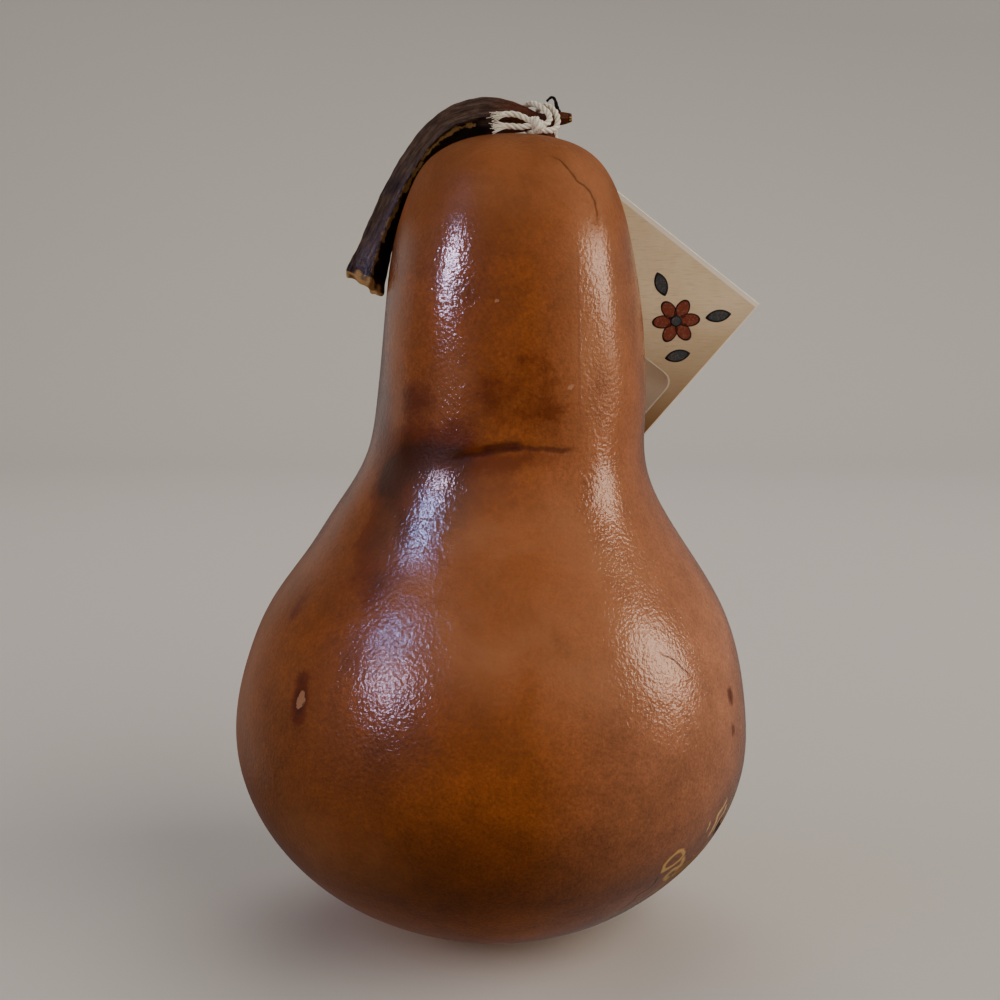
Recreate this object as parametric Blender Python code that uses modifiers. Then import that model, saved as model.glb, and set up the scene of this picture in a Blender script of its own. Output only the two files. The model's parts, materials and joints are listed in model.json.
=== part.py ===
"""A dried bottle gourd with its stem, and a square card tag tied to the stem with cotton string.

The constants are in millimetres, and MM turns them to metres. The origin is the centre of the small
flat spot that the gourd stands on, with +Z up. The front is -Y, and the stem droops towards -X.
"""

import math

import bmesh
import bpy
import numpy as np
from mathutils import Vector

MM = 0.001

# The gourd's outline, as (height, radius, sideways place of the centre), from the edge of the flat
# spot to the crown. The neck stands a little to the right of the belly.
GOURD_STATIONS = (
    (0.0, 11.0, 0.0),
    (2.9, 20.3, 0.0),
    (8.0, 30.0, 0.0),
    (15.0, 38.0, -0.1),
    (23.0, 43.6, -0.2),
    (32.5, 46.5, -0.4),
    (42.0, 46.5, -0.4),
    (52.0, 44.5, 0.0),
    (61.0, 40.9, 0.4),
    (70.0, 34.9, 1.0),
    (78.0, 29.7, 1.1),
    (83.0, 26.9, 1.6),
    (88.0, 25.1, 2.3),
    (97.0, 24.2, 3.2),
    (107.0, 23.5, 3.4),
    (117.0, 22.5, 3.5),
    (126.0, 21.0, 3.6),
    (134.0, 18.6, 3.8),
    (139.9, 15.2, 3.8),
    (143.4, 9.6, 3.9),
    (144.8, 0.0, 3.9),
)
GOURD_RINGS = 44
GOURD_SIDES = 48
# Low relief of the rind: five soft ribs that fade out below the neck, a flatter face on the neck's
# front, and a dimple round the root of the stem.
RIB_COUNT = 5
RIB_HEIGHT = 0.25
RIB_TURN = math.radians(20)
NECK_FROM = 62.0
NECK_TO = 96.0
FLAT_DEPTH = 0.5
FLAT_HALF_ANGLE = 0.5
DIMPLE_DEPTH = 0.9
DIMPLE_RADIUS = 3.6

# The stem: (x, y, z, radius) along it, from the broken stub on the right, over the crown and down
# the left side to the flared end where it was cut from the vine.
STEM_STATIONS = (
    (13.9, 2.9, 147.5, 0.70),
    (12.4, 3.0, 147.4, 1.05),
    (10.6, 3.0, 147.2, 1.15),
    (8.5, 3.0, 147.0, 1.25),
    (6.2, 3.1, 147.3, 1.75),
    (3.2, 3.6, 147.8, 2.60),
    (-0.6, 4.4, 148.1, 3.05),
    (-4.8, 5.4, 147.4, 3.10),
    (-9.2, 6.4, 145.0, 2.95),
    (-13.3, 7.2, 140.4, 2.85),
    (-17.0, 7.6, 134.4, 2.85),
    (-20.0, 7.6, 128.2, 2.90),
    (-22.2, 7.4, 122.8, 3.20),
    (-23.6, 7.2, 118.6, 4.00),
)
STEM_RINGS = 46
STEM_SIDES = 15
STEM_RIDGES = 5
STEM_RIDGE_SHARE = 0.09
ROOT_PLACE = (8.8, 3.0)
ROOT_BOTTOM = 144.6
ROOT_TOP = 147.0
ROOT_RADII = (1.6, 1.3)
ROOT_SIDES = 16
# A dried tendril that stands up from the stub in a small hook.
TENDRIL_ROUTE = (
    (11.5, 3.5, 147.6),
    (11.2, 4.0, 149.4),
    (10.9, 4.3, 150.7),
    (10.5, 4.4, 151.1),
    (10.0, 4.6, 150.9),
    (9.5, 4.8, 150.4),
)
TENDRIL_POINTS = 10
TENDRIL_RADIUS = 0.35

# The string: from the end of its upper tail through the knot, over the stem, down the back through
# the tag's hole, up over the tag's corner, over the stem again and back to the knot.
STRING_DIAMETER = 1.1
STRING_ROUTE = (
    (1.6, -1.1, 147.9),
    (3.4, -1.3, 148.0),
    (5.4, -1.5, 147.4),
    (7.2, -1.7, 146.5),
    (8.8, -1.5, 146.2),
    (9.8, -0.6, 146.8),
    (9.7, 0.6, 148.1),
    (8.7, 1.6, 149.1),
    (7.2, 3.3, 149.9),
    (5.9, 5.1, 149.7),
    (5.2, 6.5, 148.5),
    (5.3, 7.5, 146.8),
    (6.3, 8.8, 145.2),
    (7.8, 11.0, 144.0),
    (9.4, 13.8, 142.7),
    (10.7, 16.2, 141.7),
    (11.5, 17.5, 140.3),
    (11.7, 18.2, 138.7),
    (11.7, 19.7, 138.1),
    (11.7, 21.2, 138.7),
    (11.6, 21.9, 140.3),
    (11.5, 21.7, 142.5),
    (11.4, 20.7, 144.8),
    (11.3, 18.4, 145.9),
    (11.0, 15.2, 145.5),
    (10.4, 12.0, 145.0),
    (9.5, 9.3, 145.4),
    (8.5, 7.6, 146.9),
    (8.0, 6.3, 148.5),
    (8.5, 4.7, 149.5),
    (9.8, 2.9, 149.4),
    (10.8, 1.5, 148.6),
    (11.3, 0.4, 147.3),
    (11.1, -0.6, 145.8),
    (10.1, -1.8, 145.2),
    (8.7, -2.4, 145.3),
)
STRING_POINTS = 80
LOWER_TAIL_ROUTE = (
    (7.2, -2.0, 146.0),
    (5.2, -2.0, 145.8),
    (3.3, -2.0, 145.9),
    (1.5, -1.9, 145.9),
)
LOWER_TAIL_POINTS = 6
KNOT_PLACE = (7.6, -1.8, 146.1)
KNOT_RADII = (1.6, 1.4, 1.3)
KNOT_SIDES = 12
KNOT_RINGS = 8

# The tag: a square card that hangs from a hole at its top corner and lies against the gourd's back.
TAG_CORNER = (11.0, 18.3, 144.0)
TAG_SIDE = 51.0
TAG_THICKNESS = 0.6
TAG_TURN = math.radians(38.4)
TAG_LEAN = math.radians(13)
TAG_HOLE_INSET = 4.2
TAG_HOLE_RADIUS = 1.7
TAG_HOLE_SIDES = 20
# The clear label on the lower part of the tag's front, set in from its right and top edges.
LABEL_SIZE = (45.4, 26.0)
LABEL_INSET = (2.8, 21.7)
LABEL_CORNER = 2.5
LABEL_CORNER_STEPS = 5
LABEL_THICKNESS = 0.2
GAP = 0.3

# Base colour (linear), roughness and metallic value of each material.
MATERIALS = {
    "waxed_rind": ((0.30, 0.095, 0.022), 0.38, 0.0),
    "dried_stem": ((0.045, 0.024, 0.014), 0.42, 0.0),
    "cotton_string": ((0.78, 0.70, 0.55), 0.90, 0.0),
    "kraft_card": ((0.47, 0.33, 0.20), 0.80, 0.0),
    "clear_film": ((0.50, 0.40, 0.29), 0.25, 0.0),
}


def clear_scene():
    for item in list(bpy.data.objects):
        bpy.data.objects.remove(item, do_unlink=True)


def new_collection(name):
    collection = bpy.data.collections.new(name)
    bpy.context.scene.collection.children.link(collection)
    return collection


def new_material(name):
    colour, roughness, metallic = MATERIALS[name]
    material = bpy.data.materials.new(name)
    material.use_nodes = True
    shader = material.node_tree.nodes["Principled BSDF"]
    shader.inputs["Base Color"].default_value = (*colour, 1.0)
    shader.inputs["Roughness"].default_value = roughness
    shader.inputs["Metallic"].default_value = metallic
    return material


def add_object(name, data, collection):
    item = bpy.data.objects.new(name, data)
    collection.objects.link(item)
    return item


def spline(points, count):
    """Reads count points, evenly spaced, from the natural cubic spline through the given ones."""
    points = np.array(points, float)
    knots = np.concatenate([[0], np.cumsum(np.linalg.norm(np.diff(points, axis=0), axis=1))])
    steps = np.diff(knots)
    last = len(points) - 1
    system = np.eye(last + 1)
    right = np.zeros_like(points)
    for i in range(1, last):
        system[i, i - 1 : i + 2] = steps[i - 1], 2 * (steps[i - 1] + steps[i]), steps[i]
        slopes = np.diff(points[i - 1 : i + 2], axis=0) / steps[i - 1 : i + 1, None]
        right[i] = 6 * (slopes[1] - slopes[0])
    bends = np.linalg.solve(system, right)
    at = np.linspace(0, knots[-1], count)
    i = np.clip(np.searchsorted(knots, at, side="right") - 1, 0, last - 1)
    width = steps[i][:, None]
    before = (at - knots[i])[:, None]
    after = width - before
    cubic = (bends[i] * after**3 + bends[i + 1] * before**3) / (6 * width)
    start = (points[i] / width - bends[i] * width / 6) * after
    end = (points[i + 1] / width - bends[i + 1] * width / 6) * before
    return cubic + start + end


def smooth_step(value, low, high):
    share = np.clip((value - low) / (high - low), 0, 1)
    return share * share * (3 - 2 * share)


def gourd_outline():
    """The outline from the crown down to the edge of the flat spot, as (height, radius, centre)."""
    up = np.array(GOURD_STATIONS)
    mirrored = up[-2::-1] * (1, -1, 1)
    whole = spline(np.vstack([up, mirrored]), 2 * GOURD_RINGS + 1)
    half = whole[: GOURD_RINGS + 1][::-1]
    half[0, 1] = 0
    return half


def rind_relief(x, y, height):
    """How far the rind stands out from the turned shape, for points measured from the neck's centre."""
    angle = np.arctan2(y, x)
    neck = smooth_step(height, NECK_FROM, NECK_TO)
    ribs = RIB_HEIGHT * neck * np.cos(RIB_COUNT * (angle - RIB_TURN))
    from_front = np.angle(np.exp(1j * (angle + math.pi / 2)))
    return ribs - FLAT_DEPTH * neck * np.exp(-((from_front / FLAT_HALF_ANGLE) ** 2))


def shaped_rind(points, outline):
    """Moves the turned points to the gourd's leaning centre line and adds the rind's relief."""
    x, y, height = points.T
    order = outline[::-1]
    radius = np.hypot(x, y)
    relief = rind_relief(x, y, height) * smooth_step(radius, 1.0, 9.0)
    scale = 1 + relief / np.maximum(radius, 1.0)
    centre = np.interp(height, order[:, 0], order[:, 2])
    moved_x, moved_y = x * scale + centre, y * scale
    from_root = np.hypot(moved_x - ROOT_PLACE[0], moved_y - ROOT_PLACE[1])
    crown = smooth_step(height, NECK_TO, NECK_TO + 20)
    dimple = DIMPLE_DEPTH * crown * np.exp(-((from_root / DIMPLE_RADIUS) ** 2))
    return np.stack([moved_x, moved_y, height - dimple], axis=1)


def make_gourd(collection):
    outline = gourd_outline()
    profile = bpy.data.meshes.new("gourd_profile")
    points = [(radius * MM, 0, height * MM) for height, radius, _ in outline] + [(0, 0, 0)]
    profile.from_pydata(points, [(i, i + 1) for i in range(len(points) - 1)], [])
    turned = add_object("gourd", profile, collection)
    screw = turned.modifiers.new("Turn", "SCREW")
    screw.steps = screw.render_steps = GOURD_SIDES
    screw.use_merge_vertices = True
    screw.merge_threshold = 0.00001
    apply_modifiers(turned)
    mesh = turned.data
    flat = np.empty(len(mesh.vertices) * 3, np.float32)
    mesh.vertices.foreach_get("co", flat)
    moved = shaped_rind(flat.reshape(-1, 3).astype(float) / MM, outline) * MM
    mesh.vertices.foreach_set("co", moved.astype(np.float32).ravel())
    mesh.shade_smooth()
    mesh.set_sharp_from_angle(angle=math.radians(40))
    mesh.materials.append(new_material("waxed_rind"))
    return turned


def apply_modifiers(item):
    """Replaces the object's mesh with the one that its modifiers make."""
    bpy.context.view_layer.update()
    graph = bpy.context.evaluated_depsgraph_get()
    mesh = bpy.data.meshes.new_from_object(item.evaluated_get(graph))
    item.modifiers.clear()
    item.data = mesh


def poly_curve(name, points, radii, collection, cyclic=False):
    """A curve object of straight spans through points in millimetres, with a radius at each one."""
    curve = bpy.data.curves.new(name, "CURVE")
    curve.dimensions = "3D"
    line = curve.splines.new("POLY")
    line.points.add(len(points) - 1)
    line.use_cyclic_u = cyclic
    for point, place, radius in zip(line.points, points, radii):
        point.co = (*(Vector(place) * MM), 1)
        point.radius = radius
    return add_object(name, curve, collection)


def tube(name, points, radius, collection):
    """A round tube with closed ends, as a mesh object."""
    item = poly_curve(name, points, [1] * len(points), collection)
    item.data.bevel_depth = radius * MM
    item.data.bevel_resolution = 2
    item.data.use_fill_caps = True
    return curve_to_mesh(item)


def curve_to_mesh(item):
    """Turns a curve object into a mesh object of the same name, with its end caps welded on."""
    bpy.context.view_layer.update()
    graph = bpy.context.evaluated_depsgraph_get()
    mesh = bpy.data.meshes.new_from_object(item.evaluated_get(graph))
    welded = bmesh.new()
    welded.from_mesh(mesh)
    bmesh.ops.remove_doubles(welded, verts=welded.verts, dist=0.00001)
    bmesh.ops.recalc_face_normals(welded, faces=welded.faces)
    welded.to_mesh(mesh)
    welded.free()
    name, collection = item.name, item.users_collection[0]
    matrix = item.matrix_world.copy()
    bpy.data.objects.remove(item, do_unlink=True)
    made = add_object(name, mesh, collection)
    made.matrix_world = matrix
    return made


def fuse(base, others):
    """Joins the other objects to the base with one Boolean union, and removes them."""
    joining = new_collection("joining")
    for item in others:
        joining.objects.link(item)
    union = base.modifiers.new("Join", "BOOLEAN")
    union.operation = "UNION"
    union.operand_type = "COLLECTION"
    union.collection = joining
    apply_modifiers(base)
    for item in others:
        bpy.data.objects.remove(item, do_unlink=True)
    bpy.data.collections.remove(joining)


def make_stem(collection, helpers):
    angles = np.arange(STEM_SIDES) * (2 * math.pi / STEM_SIDES)
    ridge = 1 + STEM_RIDGE_SHARE * np.cos(STEM_RIDGES * angles)
    outline = np.stack([ridge * np.cos(angles), ridge * np.sin(angles), 0 * angles], axis=1)
    section = poly_curve("stem_section", outline, [1] * STEM_SIDES, helpers, cyclic=True)
    section.data.dimensions = "2D"
    section.data.fill_mode = "NONE"
    section.hide_render = True
    section.display_type = "WIRE"

    along = spline(STEM_STATIONS, STEM_RINGS)
    arm = poly_curve("stem", along[:, :3], along[:, 3], collection)
    arm.data.bevel_mode = "OBJECT"
    arm.data.bevel_object = section
    arm.data.use_fill_caps = True
    arm = curve_to_mesh(arm)

    root_mesh = bpy.data.meshes.new("stem_root")
    cone = bmesh.new()
    bmesh.ops.create_cone(
        cone,
        cap_ends=True,
        segments=ROOT_SIDES,
        radius1=ROOT_RADII[0] * MM,
        radius2=ROOT_RADII[1] * MM,
        depth=(ROOT_TOP - ROOT_BOTTOM) * MM,
    )
    cone.to_mesh(root_mesh)
    cone.free()
    root = add_object("stem_root", root_mesh, collection)
    root.location = Vector((*ROOT_PLACE, (ROOT_TOP + ROOT_BOTTOM) / 2)) * MM

    tendril = tube("tendril", spline(TENDRIL_ROUTE, TENDRIL_POINTS), TENDRIL_RADIUS, collection)
    fuse(arm, [root, tendril])
    finish_mesh(arm, "dried_stem")


def finish_mesh(item, material):
    item.data.shade_smooth()
    item.data.set_sharp_from_angle(angle=math.radians(50))
    item.data.materials.clear()
    item.data.materials.append(new_material(material))


def make_string(collection):
    radius = STRING_DIAMETER / 2
    string = tube("string", spline(STRING_ROUTE, STRING_POINTS), radius, collection)
    lower_tail = spline(LOWER_TAIL_ROUTE, LOWER_TAIL_POINTS)
    tail = tube("string_tail", lower_tail, radius, collection)
    knot_mesh = bpy.data.meshes.new("string_knot")
    ball = bmesh.new()
    bmesh.ops.create_uvsphere(ball, u_segments=KNOT_SIDES, v_segments=KNOT_RINGS, radius=1)
    bmesh.ops.scale(ball, vec=Vector(KNOT_RADII) * MM, verts=ball.verts)
    ball.to_mesh(knot_mesh)
    ball.free()
    knot = add_object("string_knot", knot_mesh, collection)
    knot.location = Vector(KNOT_PLACE) * MM
    fuse(string, [tail, knot])
    finish_mesh(string, "cotton_string")


def flat_piece(name, outlines, thickness, collection):
    """A flat plate from closed outlines in its own XY plane, centred on it. Inner ones are holes."""
    curve = bpy.data.curves.new(name, "CURVE")
    curve.dimensions = "2D"
    curve.fill_mode = "BOTH"
    curve.extrude = thickness / 2 * MM
    for outline in outlines:
        line = curve.splines.new("POLY")
        line.points.add(len(outline) - 1)
        line.use_cyclic_u = True
        for point, (x, y) in zip(line.points, outline):
            point.co = (x * MM, y * MM, 0, 1)
    return add_object(name, curve, collection)


def arc(centre, radius, start, end, steps):
    """Points on an arc, with both of its ends, in order from the start angle to the end one."""
    angles = np.linspace(start, end, steps)
    return [(centre[0] + radius * math.cos(a), centre[1] + radius * math.sin(a)) for a in angles]


def rounded_rectangle(low, high, corner, steps):
    quarter = math.pi / 2
    centres = (
        (high[0] - corner, high[1] - corner),
        (low[0] + corner, high[1] - corner),
        (low[0] + corner, low[1] + corner),
        (high[0] - corner, low[1] + corner),
    )
    points = []
    for i, centre in enumerate(centres):
        points += arc(centre, corner, i * quarter, (i + 1) * quarter, steps)
    return points


def make_tag(collection):
    """The card and its label lie in the plane of an empty at the tag's top corner, facing -Y."""
    plane = add_object("tag_plane", None, collection)
    plane.location = Vector(TAG_CORNER) * MM
    plane.rotation_mode = "ZYX"
    plane.rotation_euler = (math.pi / 2 + TAG_LEAN, 0, -TAG_TURN)

    square = [(0, 0), (0, -TAG_SIDE), (TAG_SIDE, -TAG_SIDE), (TAG_SIDE, 0)]
    centre = (TAG_HOLE_INSET, -TAG_HOLE_INSET)
    hole = arc(centre, TAG_HOLE_RADIUS, 0, 2 * math.pi, TAG_HOLE_SIDES + 1)[:-1]
    tag = flat_piece("tag", [square, hole], TAG_THICKNESS, collection)
    tag.data.materials.append(new_material("kraft_card"))
    tag.parent = plane

    high = (TAG_SIDE - LABEL_INSET[0], -LABEL_INSET[1])
    low = (high[0] - LABEL_SIZE[0], high[1] - LABEL_SIZE[1])
    corners = rounded_rectangle(low, high, LABEL_CORNER, LABEL_CORNER_STEPS)
    label = flat_piece("tag_label", [corners], LABEL_THICKNESS, collection)
    label.data.materials.append(new_material("clear_film"))
    label.parent = plane
    label.location = (0, 0, (TAG_THICKNESS / 2 + GAP + LABEL_THICKNESS / 2) * MM)


def main():
    clear_scene()
    collection = new_collection("dried_gourd")
    helpers = new_collection("helpers")
    make_gourd(collection)
    make_stem(collection, helpers)
    make_string(collection)
    make_tag(collection)


main()
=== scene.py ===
"""The looks of a dried bottle gourd with a card tag on a cotton string.

Each sub-assembly is a class that works out its surfaces with numpy, in millimetres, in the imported
model's frame: the origin on the gourd's flat spot, +Z up and -Y towards the camera.
"""

import json
import logging
import math
from dataclasses import dataclass
from enum import Enum

import bpy
import numpy as np
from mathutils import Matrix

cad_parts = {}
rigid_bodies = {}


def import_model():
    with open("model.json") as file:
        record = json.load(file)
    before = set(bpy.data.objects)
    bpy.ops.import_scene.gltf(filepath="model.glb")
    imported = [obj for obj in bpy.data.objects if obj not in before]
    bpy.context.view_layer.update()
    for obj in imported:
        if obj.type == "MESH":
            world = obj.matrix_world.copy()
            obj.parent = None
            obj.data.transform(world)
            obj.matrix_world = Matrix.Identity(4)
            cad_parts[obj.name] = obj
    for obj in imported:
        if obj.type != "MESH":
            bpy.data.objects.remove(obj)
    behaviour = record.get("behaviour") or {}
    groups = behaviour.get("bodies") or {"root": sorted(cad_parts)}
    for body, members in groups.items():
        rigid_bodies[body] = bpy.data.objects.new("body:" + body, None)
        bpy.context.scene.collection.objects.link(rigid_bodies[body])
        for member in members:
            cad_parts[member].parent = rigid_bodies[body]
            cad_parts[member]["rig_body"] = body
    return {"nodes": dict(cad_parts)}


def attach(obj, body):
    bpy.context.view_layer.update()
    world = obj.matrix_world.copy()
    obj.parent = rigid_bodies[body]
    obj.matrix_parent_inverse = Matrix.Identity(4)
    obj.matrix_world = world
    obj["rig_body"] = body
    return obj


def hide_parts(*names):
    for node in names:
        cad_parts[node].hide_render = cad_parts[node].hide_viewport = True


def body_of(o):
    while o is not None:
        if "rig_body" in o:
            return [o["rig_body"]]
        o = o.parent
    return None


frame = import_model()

LOG = logging.getLogger("dried_gourd")
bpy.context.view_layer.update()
MM = 0.001
FRONT = math.radians(-90)

Array = np.ndarray
Pair = tuple[float, float]
Point = tuple[float, float, float]
Rows = tuple[tuple[float, ...], ...]
Socket = bpy.types.NodeSocket

# A colour Mix node's sockets, which go by number because their names repeat, and its settings.
SHARE, LOW, HIGH = 0, 6, 7
BLEND = {"out": 2, "data_type": "RGBA"}


class Slot(Enum):
    """The record's material slots."""

    RIND = "waxed_rind"
    STEM = "dried_stem"
    STRING = "cotton_string"
    CARD = "kraft_card"
    FILM = "clear_film"


# Shared curves and surfaces


def smooth_step(value: Array, low: float, high: float) -> Array:
    """Rises from 0 at low to 1 at high with a flat start and end.

    Args:
        value: where to read it.
        low: the value where the rise starts.
        high: the value where it ends.

    Returns:
        The share of the rise at each value.
    """
    share = np.clip((value - low) / (high - low), 0, 1)
    return share * share * (3 - 2 * share)


def bump(value: Array, centre: float, width: float) -> Array:
    """A smooth hill of height 1 at the centre, which falls to a third one width away."""
    return np.exp(-(((value - centre) / width) ** 2))


def window(value: Array, low: float, high: float, fade: float) -> Array:
    """1 between low and high, fading to 0 over the fade beyond each."""
    return smooth_step(value, low - fade, low) * (1 - smooth_step(value, high, high + fade))


def unit(vector: Array) -> Array:
    """The vector's direction, with length 1."""
    return vector / np.linalg.norm(vector)


def spline(points: Array, count: int) -> Array:
    """Reads a natural cubic spline at even steps of the chord length through its points.

    Args:
        points: the points that the curve goes through, one a row.
        count: how many points to read.

    Returns:
        The points on the curve, one a row.
    """
    points = np.array(points, float)
    knots = np.concatenate([[0], np.cumsum(np.linalg.norm(np.diff(points, axis=0), axis=1))])
    steps = np.diff(knots)
    last = len(points) - 1
    system = np.eye(last + 1)
    right = np.zeros_like(points)
    for i in range(1, last):
        system[i, i - 1 : i + 2] = steps[i - 1], 2 * (steps[i - 1] + steps[i]), steps[i]
        slopes = np.diff(points[i - 1 : i + 2], axis=0) / steps[i - 1 : i + 1, None]
        right[i] = 6 * (slopes[1] - slopes[0])
    bends = np.linalg.solve(system, right)
    at = np.linspace(0, knots[-1], count)
    i = np.clip(np.searchsorted(knots, at, side="right") - 1, 0, last - 1)
    width = steps[i][:, None]
    before = (at - knots[i])[:, None]
    after = width - before
    cubic = (bends[i] * after**3 + bends[i + 1] * before**3) / (6 * width)
    start = (points[i] / width - bends[i] * width / 6) * after
    end = (points[i + 1] / width - bends[i + 1] * width / 6) * before
    return cubic + start + end


def even_steps(path: Array, count: int) -> Array:
    """Reads a fine path again at even steps of its own length.

    Args:
        path: points close together, one a row, with any number of columns.
        count: how many points to read.

    Returns:
        The evenly spaced rows.
    """
    run = np.concatenate([[0], np.cumsum(np.linalg.norm(np.diff(path[:, :3], axis=0), axis=1))])
    at = np.linspace(0, run[-1], count)
    return np.stack([np.interp(at, run, column) for column in path.T], axis=1)


def path_length(path: Array) -> float:
    """The length of a path of points."""
    return float(np.linalg.norm(np.diff(path, axis=0), axis=1).sum())


def path_frames(path: Array, side: Point) -> tuple[Array, Array]:
    """Two crosswise directions at each point of a path, carried along it without twist.

    Args:
        path: points along the path, one a row.
        side: the direction that the first crosswise direction starts closest to.

    Returns:
        The two unit directions at each point.
    """
    ahead = np.gradient(path, axis=0)
    ahead /= np.linalg.norm(ahead, axis=1, keepdims=True)
    across = np.empty_like(path)
    current = np.array(side, float)
    for i, forward in enumerate(ahead):
        current = unit(current - forward * np.dot(current, forward))
        across[i] = current
    return across, np.cross(ahead, across)


def sweep(path: Array, radius: Array, side: Point = (0, 0, 1)) -> Array:
    """Carries a round section along a path.

    A point of row i and column j is path[i] + radius[i, j] * (cos(a) * across + sin(a) * up), where
    a goes once round over the columns.

    Args:
        path: the centre of each row, in millimetres.
        radius: the section's radius, with a row for each path point and a column for each side.
        side: the direction that angle 0 starts closest to.

    Returns:
        The grid of points, rows by columns by 3.
    """
    across, up = path_frames(path, side)
    columns = radius.shape[1]
    angle = np.arange(columns)[:, None] * (2 * math.pi / columns)
    ring = np.cos(angle) * across[:, None] + np.sin(angle) * up[:, None]
    return path[:, None] + radius[..., None] * ring


def closed_faces(rows: int, columns: int) -> tuple[Array, Array]:
    """The faces of a grid that closes round its columns and ends in a pole before and after it.

    Args:
        rows: the grid's rows.
        columns: the grid's columns.

    Returns:
        The four-sided faces, and the three-sided ones at the two poles, as vertex numbers.
    """
    index = np.arange(rows * columns).reshape(rows, columns)
    after = np.roll(index, -1, axis=1)
    quads = np.stack([index[:-1], after[:-1], after[1:], index[1:]], axis=-1).reshape(-1, 4)
    first, last = rows * columns, rows * columns + 1
    start = np.stack([after[0], index[0], np.full(columns, first)], axis=-1)
    end = np.stack([index[-1], after[-1], np.full(columns, last)], axis=-1)
    return quads, np.concatenate([start, end])


def with_poles(grid: Array) -> Array:
    """The grid's values in one list, then the mean of its first row and of its last."""
    poles = np.stack([grid[0].mean(axis=0), grid[-1].mean(axis=0)])
    return np.concatenate([grid.reshape(-1, *grid.shape[2:]), poles])


def closed_mesh(name: str, grids: list[Array], marks: dict[str, list[Array]]) -> bpy.types.Object:
    """Makes one mesh object from closed grids.

    Args:
        name: the piece's name.
        grids: grids of points in millimetres, rows by columns by 3. Each becomes one closed surface,
            with a pole in the middle of its first row and one in the middle of its last.
        marks: values kept on the vertices, one array for each grid, rows by columns, or rows by
            columns by 3.

    Returns:
        The object, at the origin, linked to the scene.
    """
    vertices, faces, at = [], [], 0
    for grid in grids:
        points = with_poles(grid)
        four, three = closed_faces(*grid.shape[:2])
        corners = points[np.concatenate([four[:, [0, 1, 2]], four[:, [0, 2, 3]], three])]
        volume = np.einsum("ij,ij->", corners[:, 0], np.cross(corners[:, 1], corners[:, 2]))
        if volume < 0:
            four, three = four[:, ::-1], three[:, ::-1]
        vertices.append(points * MM)
        faces += (four + at).tolist() + (three + at).tolist()
        at += len(points)
    mesh = bpy.data.meshes.new(name)
    mesh.from_pydata(np.concatenate(vertices), [], faces)
    for mark, values in marks.items():
        flat = np.concatenate([with_poles(value) for value in values]).astype(np.float32)
        vector = flat.ndim == 2
        layer = mesh.attributes.new(mark, "FLOAT_VECTOR" if vector else "FLOAT", "POINT")
        layer.data.foreach_set("vector" if vector else "value", flat.ravel())
    mesh.shade_smooth()
    piece = bpy.data.objects.new(name, mesh)
    bpy.context.scene.collection.objects.link(piece)
    return piece


# Shared material tools


def linear(colour: str) -> tuple[float, float, float, float]:
    """Turns an sRGB hex colour to the linear red, green, blue and alpha that a shader reads."""
    code = colour.lstrip("#")
    shares = [int(code[i : i + 2], 16) / 255 for i in (0, 2, 4)]
    return (*(s / 12.92 if s <= 0.04045 else ((s + 0.055) / 1.055) ** 2.4 for s in shares), 1.0)


def every(size: float) -> float:
    """The scale of a noise whose features are about this many millimetres across."""
    return 1 / (size * MM)


class Paint:
    """A material being made: its nodes and its Principled shader."""

    def __init__(self, name: str) -> None:
        """Starts a material of this name with a bare shader."""
        self.material = bpy.data.materials.new(name)
        self.material.use_nodes = True
        self.tree = self.material.node_tree
        self.shader = self.tree.nodes["Principled BSDF"]

    def fill(self, node: bpy.types.Node, inputs: dict[str | int, object]) -> None:
        """Sets a node's inputs.

        Args:
            node: the node.
            inputs: for each input, its value, or the output that is linked to it.
        """
        for name, value in inputs.items():
            if isinstance(value, Socket):
                self.tree.links.new(value, node.inputs[name])
            else:
                node.inputs[name].default_value = value

    def node(
        self,
        kind: str,
        inputs: dict[str | int, object] | None = None,
        out: int | str = 0,
        stops: tuple[tuple[float, str], ...] = (),
        **settings: object,
    ) -> Socket:
        """Adds a node, sets it and links it.

        Args:
            kind: the node's type, without the words that all shader nodes start with.
            inputs: for each input, its value, or the output that is linked to it.
            out: which of its outputs is wanted.
            stops: the places and hex colours of a colour ramp.
            settings: the node's own properties.

        Returns:
            The wanted output.
        """
        made = self.tree.nodes.new("ShaderNode" + kind)
        for name, value in settings.items():
            setattr(made, name, value)
        self.fill(made, inputs or {})
        for number, (place, colour) in enumerate(stops):
            ramp = made.color_ramp.elements
            element = ramp[number] if number < 2 else ramp.new(place)
            element.position = place
            element.color = linear(colour)
        return made.outputs[out]

    def finish(self, inputs: dict[str | int, object]) -> bpy.types.Material:
        """Sets the shader's own inputs and gives the material."""
        self.fill(self.shader, inputs)
        return self.material


# The rind


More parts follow.
